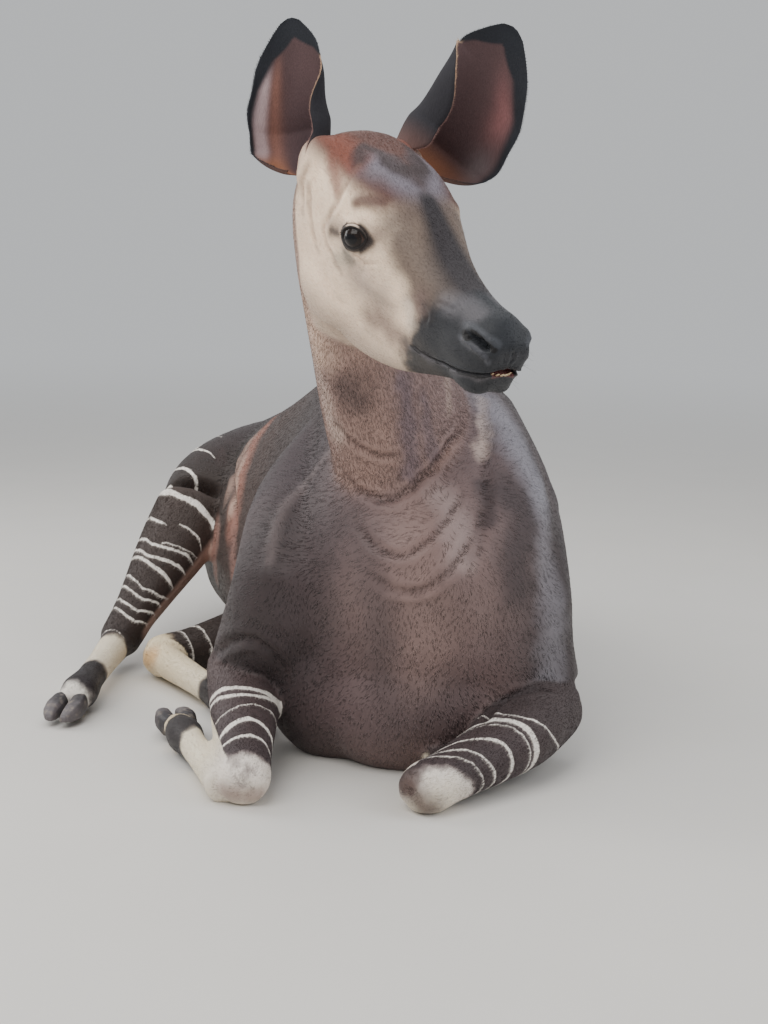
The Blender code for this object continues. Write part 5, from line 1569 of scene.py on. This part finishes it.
def make_lashes(material):
    """Dark lashes along both upper lids."""
    draw = np.random.default_rng(31)
    roots, ways, bends = [], [], []
    for side, eye in EYES:
        outward, slit, across = gaze(side)
        for turn in np.radians(draw.uniform(15.0, 165.0, LASHES)):
            rim = slit * LID_HALF * math.cos(turn) + across * LID_UPPER * math.sin(turn)
            roots.append(eye + unit(outward * LID_PLANE + 1.08 * rim) * (EYE_RADIUS + 0.0012))
            fan = slit * 0.45 * math.cos(turn)
            ways.append(unit(outward * 0.95 + across * draw.uniform(-0.15, 0.25) + fan))
            bends.append(across * draw.uniform(-0.45, -0.15))
    lengths = draw.uniform(*LASH_LENGTHS, len(roots))
    mesh = hairs_mesh("lashes", roots, ways, lengths, LASH_WIDTH, bends)
    finish_piece(link("lashes", mesh), material)


def make_whiskers(mesh, material):
    """Thin whiskers on the chin and round the muzzle."""
    draw = np.random.default_rng(33)
    points = points_of(mesh)
    along, out, up = in_head(points).T
    chin = (along > 0.40) & (along < 0.49) & (np.abs(up + 0.055) < 0.020)
    lips = (along > 0.42) & (along < 0.49) & (np.abs(up + 0.02) < 0.02) & (np.abs(out) > 0.030)
    chosen = np.concatenate([draw.choice(np.nonzero(part)[0], WHISKERS) for part in (chin, lips)])
    normals = normals_of(mesh)[chosen]
    ways = unit_rows(normals + draw.normal(size=(len(chosen), 3)) * 0.12 + 0.35 * HEAD_F)
    bends = np.tile(-0.30 * HEAD_F + (0.0, 0.0, -0.08), (len(chosen), 1))
    lengths = draw.uniform(*WHISKER_LENGTHS, len(chosen))
    hairs = hairs_mesh("whiskers", points[chosen] - normals * 0.001, ways, lengths, WHISKER_WIDTH, bends)
    finish_piece(link("whiskers", hairs), material)


def make_tuft(material):
    """The tail's tuft: long dark hairs in locks that fan out and sink to the floor."""
    draw = np.random.default_rng(7)
    line = smooth_line(body(TAIL_LINE), 4)[-10:]
    roots, ways, lengths, bends = [], [], [], []
    for _ in range(TAIL_LOCKS):
        place = line[int(draw.integers(0, len(line)))]
        spread = draw.uniform(-0.5, 0.5)
        way = np.array((math.cos(spread), math.sin(spread) + 0.10, 0.0))
        length = draw.uniform(*LOCK_LENGTHS)
        for _ in range(LOCK_HAIRS):
            root = place + draw.normal(size=3) * (0.004, 0.005, 0.003)
            root[2] = max(root[2], 0.006)
            hair = unit(way + draw.normal(size=3) * (0.03, 0.05, 0.03))
            reach = length * draw.uniform(0.7, 1.05)
            drop = (root[2] - draw.uniform(0.003, 0.011)) / reach
            roots.append(root)
            ways.append(hair)
            lengths.append(reach)
            bends.append((0.0, draw.uniform(-0.08, 0.08), -drop - hair[2]))
    mesh = hairs_mesh("tail_tuft", roots, ways, lengths, TAIL_HAIR_WIDTH, bends, steps=6)
    set_points(mesh, off_floor(points_of(mesh), TAIL_HAIR_LIFT))
    finish_piece(link("tail_tuft", mesh), material, nodes=("tail",))


def hair_material(name, dark, light):
    material, tree, shader = new_material(name, roughness=0.5)
    grain = noise(tree, object_place(tree), 160.0, 2.0)
    colour_in(tree, shader, blend_colour(tree, grain, dark, light))
    return material


# Materials
def add_node(tree, kind, inputs=None, **settings):
    """New shader node: settings are its own values, inputs are values or links by socket."""
    item = tree.nodes.new(kind)
    for key, value in settings.items():
        setattr(item, key, value)
    for key, value in (inputs or {}).items():
        if isinstance(value, bpy.types.NodeSocket):
            tree.links.new(value, item.inputs[key])
        else:
            item.inputs[key].default_value = value
    return item


def new_material(name, **values):
    material = bpy.data.materials.new(name)
    material.use_nodes = True
    tree = material.node_tree
    shader = tree.nodes["Principled BSDF"]
    for key, value in values.items():
        shader.inputs[key.replace("_", " ").title().replace("Ior", "IOR")].default_value = value
    return material, tree, shader


def calc(tree, operation, a, b=0.0, c=0.0):
    return add_node(tree, "ShaderNodeMath", {0: a, 1: b, 2: c}, operation=operation).outputs[0]


def blend_colour(tree, factor, a, b, mode="MIX"):
    node = add_node(tree, "ShaderNodeMix", data_type="RGBA", blend_type=mode)
    for index, value in ((0, factor), (6, a), (7, b)):
        if isinstance(value, bpy.types.NodeSocket):
            tree.links.new(value, node.inputs[index])
        else:
            node.inputs[index].default_value = value if index == 0 else (*value, 1.0)
    return node.outputs[2]


def shaded(tree, colour, factor):
    """A colour multiplied by a factor."""
    grey = add_node(tree, "ShaderNodeCombineColor", {0: factor, 1: factor, 2: factor}).outputs[0]
    return blend_colour(tree, 1.0, colour, grey, "MULTIPLY")


def object_place(tree):
    return add_node(tree, "ShaderNodeTexCoord").outputs["Object"]


def painted(tree, name="tint", output="Color"):
    """What the mesh carries for each point under this name."""
    return add_node(tree, "ShaderNodeAttribute", attribute_name=name).outputs[output]


def noise(tree, place, scale, detail):
    settings = {"Vector": place, "Scale": scale, "Detail": detail}
    return add_node(tree, "ShaderNodeTexNoise", settings).outputs["Fac"]


def map_range(tree, value, kind="LINEAR", **limits):
    inputs = {key.replace("_", " ").title(): limit for key, limit in limits.items()}
    node = add_node(tree, "ShaderNodeMapRange", {"Value": value, **inputs}, interpolation_type=kind)
    return node.outputs[0]


def colour_in(tree, shader, colour):
    tree.links.new(colour, shader.inputs["Base Color"])


def bump_in(tree, shader, height, strength, distance):
    bump = add_node(tree, "ShaderNodeBump", {"Height": height, "Strength": strength, "Distance": distance})
    tree.links.new(bump.outputs[0], shader.inputs["Normal"])


def streaks(tree, place, way, length, width):
    """Noise drawn out along a direction."""
    turn = Vector(way).to_track_quat("X", "Z").to_euler()
    mapping = {"Vector": place, "Rotation": turn, "Scale": (length, width, width)}
    mapped = add_node(tree, "ShaderNodeMapping", mapping, vector_type="TEXTURE").outputs[0]
    settings = {"Vector": mapped, "Scale": 1.0, "Detail": 3.0, "Roughness": 0.6}
    return add_node(tree, "ShaderNodeTexNoise", settings).outputs["Fac"]


def coat_material():
    """Short glossy hair: painted tint, white bands, fine streaks along the lie."""
    material, tree, shader = new_material("okapi_coat", roughness=0.54, specular_ior_level=0.30,
                                          sheen_weight=0.06, sheen_roughness=0.5)
    place = object_place(tree)
    weights = add_node(tree, "ShaderNodeSeparateXYZ", {0: painted(tree, "zone", "Vector")}).outputs
    neck_way = unit(np.array(NECK_LINE[-1]) - np.array(NECK_LINE[1]))
    hair = None
    for weight, way in zip(weights, ((0.1, 1.0, -0.25), neck_way, HEAD_F)):
        part = calc(tree, "MULTIPLY", streaks(tree, place, way, 0.014, 0.0011), weight)
        hair = part if hair is None else calc(tree, "ADD", hair, part)
    band = calc(tree, "SUBTRACT", painted(tree, "band", "Fac"), 0.0017)
    edge = calc(tree, "MULTIPLY_ADD", noise(tree, place, 260.0, 2.0), 0.0034, band)
    white = map_range(tree, edge, from_min=-0.0008, from_max=0.0010)
    mottled = calc(tree, "MULTIPLY_ADD", noise(tree, place, 17.0, 3.0), 0.30, 0.85)
    shade = calc(tree, "MULTIPLY", calc(tree, "MULTIPLY_ADD", hair, 0.55, 0.73), mottled)
    colour_in(tree, shader, shaded(tree, blend_colour(tree, white, painted(tree), WHITE_HAIR), shade))
    bump_in(tree, shader, hair, 0.35, 0.0006)
    return material


# Stage
FLOOR_REACH = 60.0
SKY = (0.86, 0.88, 0.90)
SKY_LIGHT = 0.70
FLOOR_SHADE = srgb(214, 211, 206)
FLOOR_SIDES = 64
FADE_START = 1.8
FADE_END = 7.5
LIGHTS = {
    # place, what it points at, size, power, colour
    "key": ((-1.6, -2.2, 3.0), (0.0, -0.3, 0.5), (2.6, 2.6), 90.0, (1.0, 0.98, 0.945)),
    "rim": ((-2.4, 1.0, 2.0), (-0.1, -0.4, 0.7), (1.6, 2.4), 44.0, (1.0, 0.985, 0.97)),
    "fill": ((2.6, -1.6, 1.8), (0.1, -0.3, 0.5), (2.4, 2.4), 38.0, (0.97, 0.98, 1.0)),
    "top": ((0.3, 0.2, 3.4), (0.0, 0.0, 0.3), (2.4, 2.4), 30.0, (1.0, 1.0, 1.0)),
}


def floor_material():
    """Plain pale floor that fades into the light of the backdrop far from the animal."""
    material, tree, shader = new_material("floor", roughness=0.7)
    place = object_place(tree)
    pale = blend_colour(tree, noise(tree, place, 4.0, 4.0), FLOOR_SHADE * 0.97, FLOOR_SHADE * 1.03)
    colour_in(tree, shader, pale)
    reach = add_node(tree, "ShaderNodeVectorMath", {0: place}, operation="LENGTH").outputs["Value"]
    far = map_range(tree, reach, "SMOOTHSTEP", from_min=FADE_START, from_max=FADE_END)
    glow = add_node(tree, "ShaderNodeEmission", {"Color": (*SKY, 1.0), "Strength": SKY_LIGHT})
    mixed = add_node(tree, "ShaderNodeMixShader", {0: far, 1: shader.outputs[0], 2: glow.outputs[0]})
    tree.links.new(mixed.outputs[0], tree.nodes["Material Output"].inputs["Surface"])
    return material


def make_stage():
    """Plain pale floor, soft lights and an even pale backdrop."""
    turns = 2 * np.pi * np.arange(FLOOR_SIDES) / FLOOR_SIDES
    rim = FLOOR_REACH * np.stack((np.cos(turns), np.sin(turns), 0.0 * turns), axis=1)
    floor = link("floor", mesh_from("floor", rim, [tuple(range(FLOOR_SIDES))]))
    floor.data.materials.append(floor_material())
    for name, (place, aim, size, power, colour) in LIGHTS.items():
        lamp = bpy.data.lights.new(name, "AREA")
        lamp.shape = "RECTANGLE"
        lamp.size, lamp.size_y = size
        lamp.energy = power
        lamp.color = colour
        item = link(name, lamp)
        item.location = body(place)[0]
        item.rotation_euler = (Vector(body(aim)[0]) - item.location).to_track_quat("-Z", "Y").to_euler()
    world = bpy.data.worlds.new("world")
    bpy.context.scene.world = world
    world.use_nodes = True
    background = world.node_tree.nodes["Background"]
    background.inputs["Color"].default_value = (*SKY, 1.0)
    background.inputs["Strength"].default_value = SKY_LIGHT


def make_camera():
    """The photo's view: the camera's place, and its heading, downward pitch and roll."""
    heading = np.array((math.sin(CAMERA_TURN), math.cos(CAMERA_TURN), 0.0))
    forward = heading * math.cos(CAMERA_PITCH) - np.array((0.0, 0.0, math.sin(CAMERA_PITCH)))
    level = np.array((math.cos(CAMERA_TURN), -math.sin(CAMERA_TURN), 0.0))
    above = np.cross(level, forward)
    right = math.cos(CAMERA_ROLL) * level + math.sin(CAMERA_ROLL) * above
    up = math.cos(CAMERA_ROLL) * above - math.sin(CAMERA_ROLL) * level
    data = bpy.data.cameras.new("camera")
    data.lens = data.sensor_width * FOCAL_PIXELS / PHOTO_HEIGHT
    item = link("camera", data)
    turn = Matrix((right, up, -forward)).transposed()
    item.matrix_world = Matrix.Translation(body(CAMERA_PLACE)[0]) @ turn.to_4x4()
    bpy.context.scene.camera = item


make_camera()
make_stage()
skin, flesh_nodes = make_skin()
skin.data.shade_smooth()
skin_shares, skin_tint = paint_skin(skin.data, flesh_nodes)
coat = coat_material()
finish_piece(skin, coat, (*flesh_nodes, "tail"))
make_coat(skin.data, skin_shares, skin_tint, coat)

ear_coat = ear_material()
for ear_name, ear_spec in EARS.items():
    make_ear(ear_name, ear_spec, ear_coat)
eye_gloss = eye_material()
for eye_name, (eye_side, eye_middle) in zip(("eye_right", "eye_left"), EYES):
    make_eye(eye_name, eye_middle, eye_side, eye_gloss)
make_hooves(horn_material())
make_teeth(wet_material("enamel", srgb(168, 140, 104), srgb(204, 184, 148), 0.006, 0.30),
           wet_material("gum", srgb(140, 84, 80), srgb(176, 112, 104), 0.004, 0.35))
dark_hair = hair_material("dark_hair", srgb(26, 22, 22), srgb(62, 50, 46))
make_tuft(dark_hair)
make_lashes(dark_hair)
make_whiskers(skin.data, dark_hair)
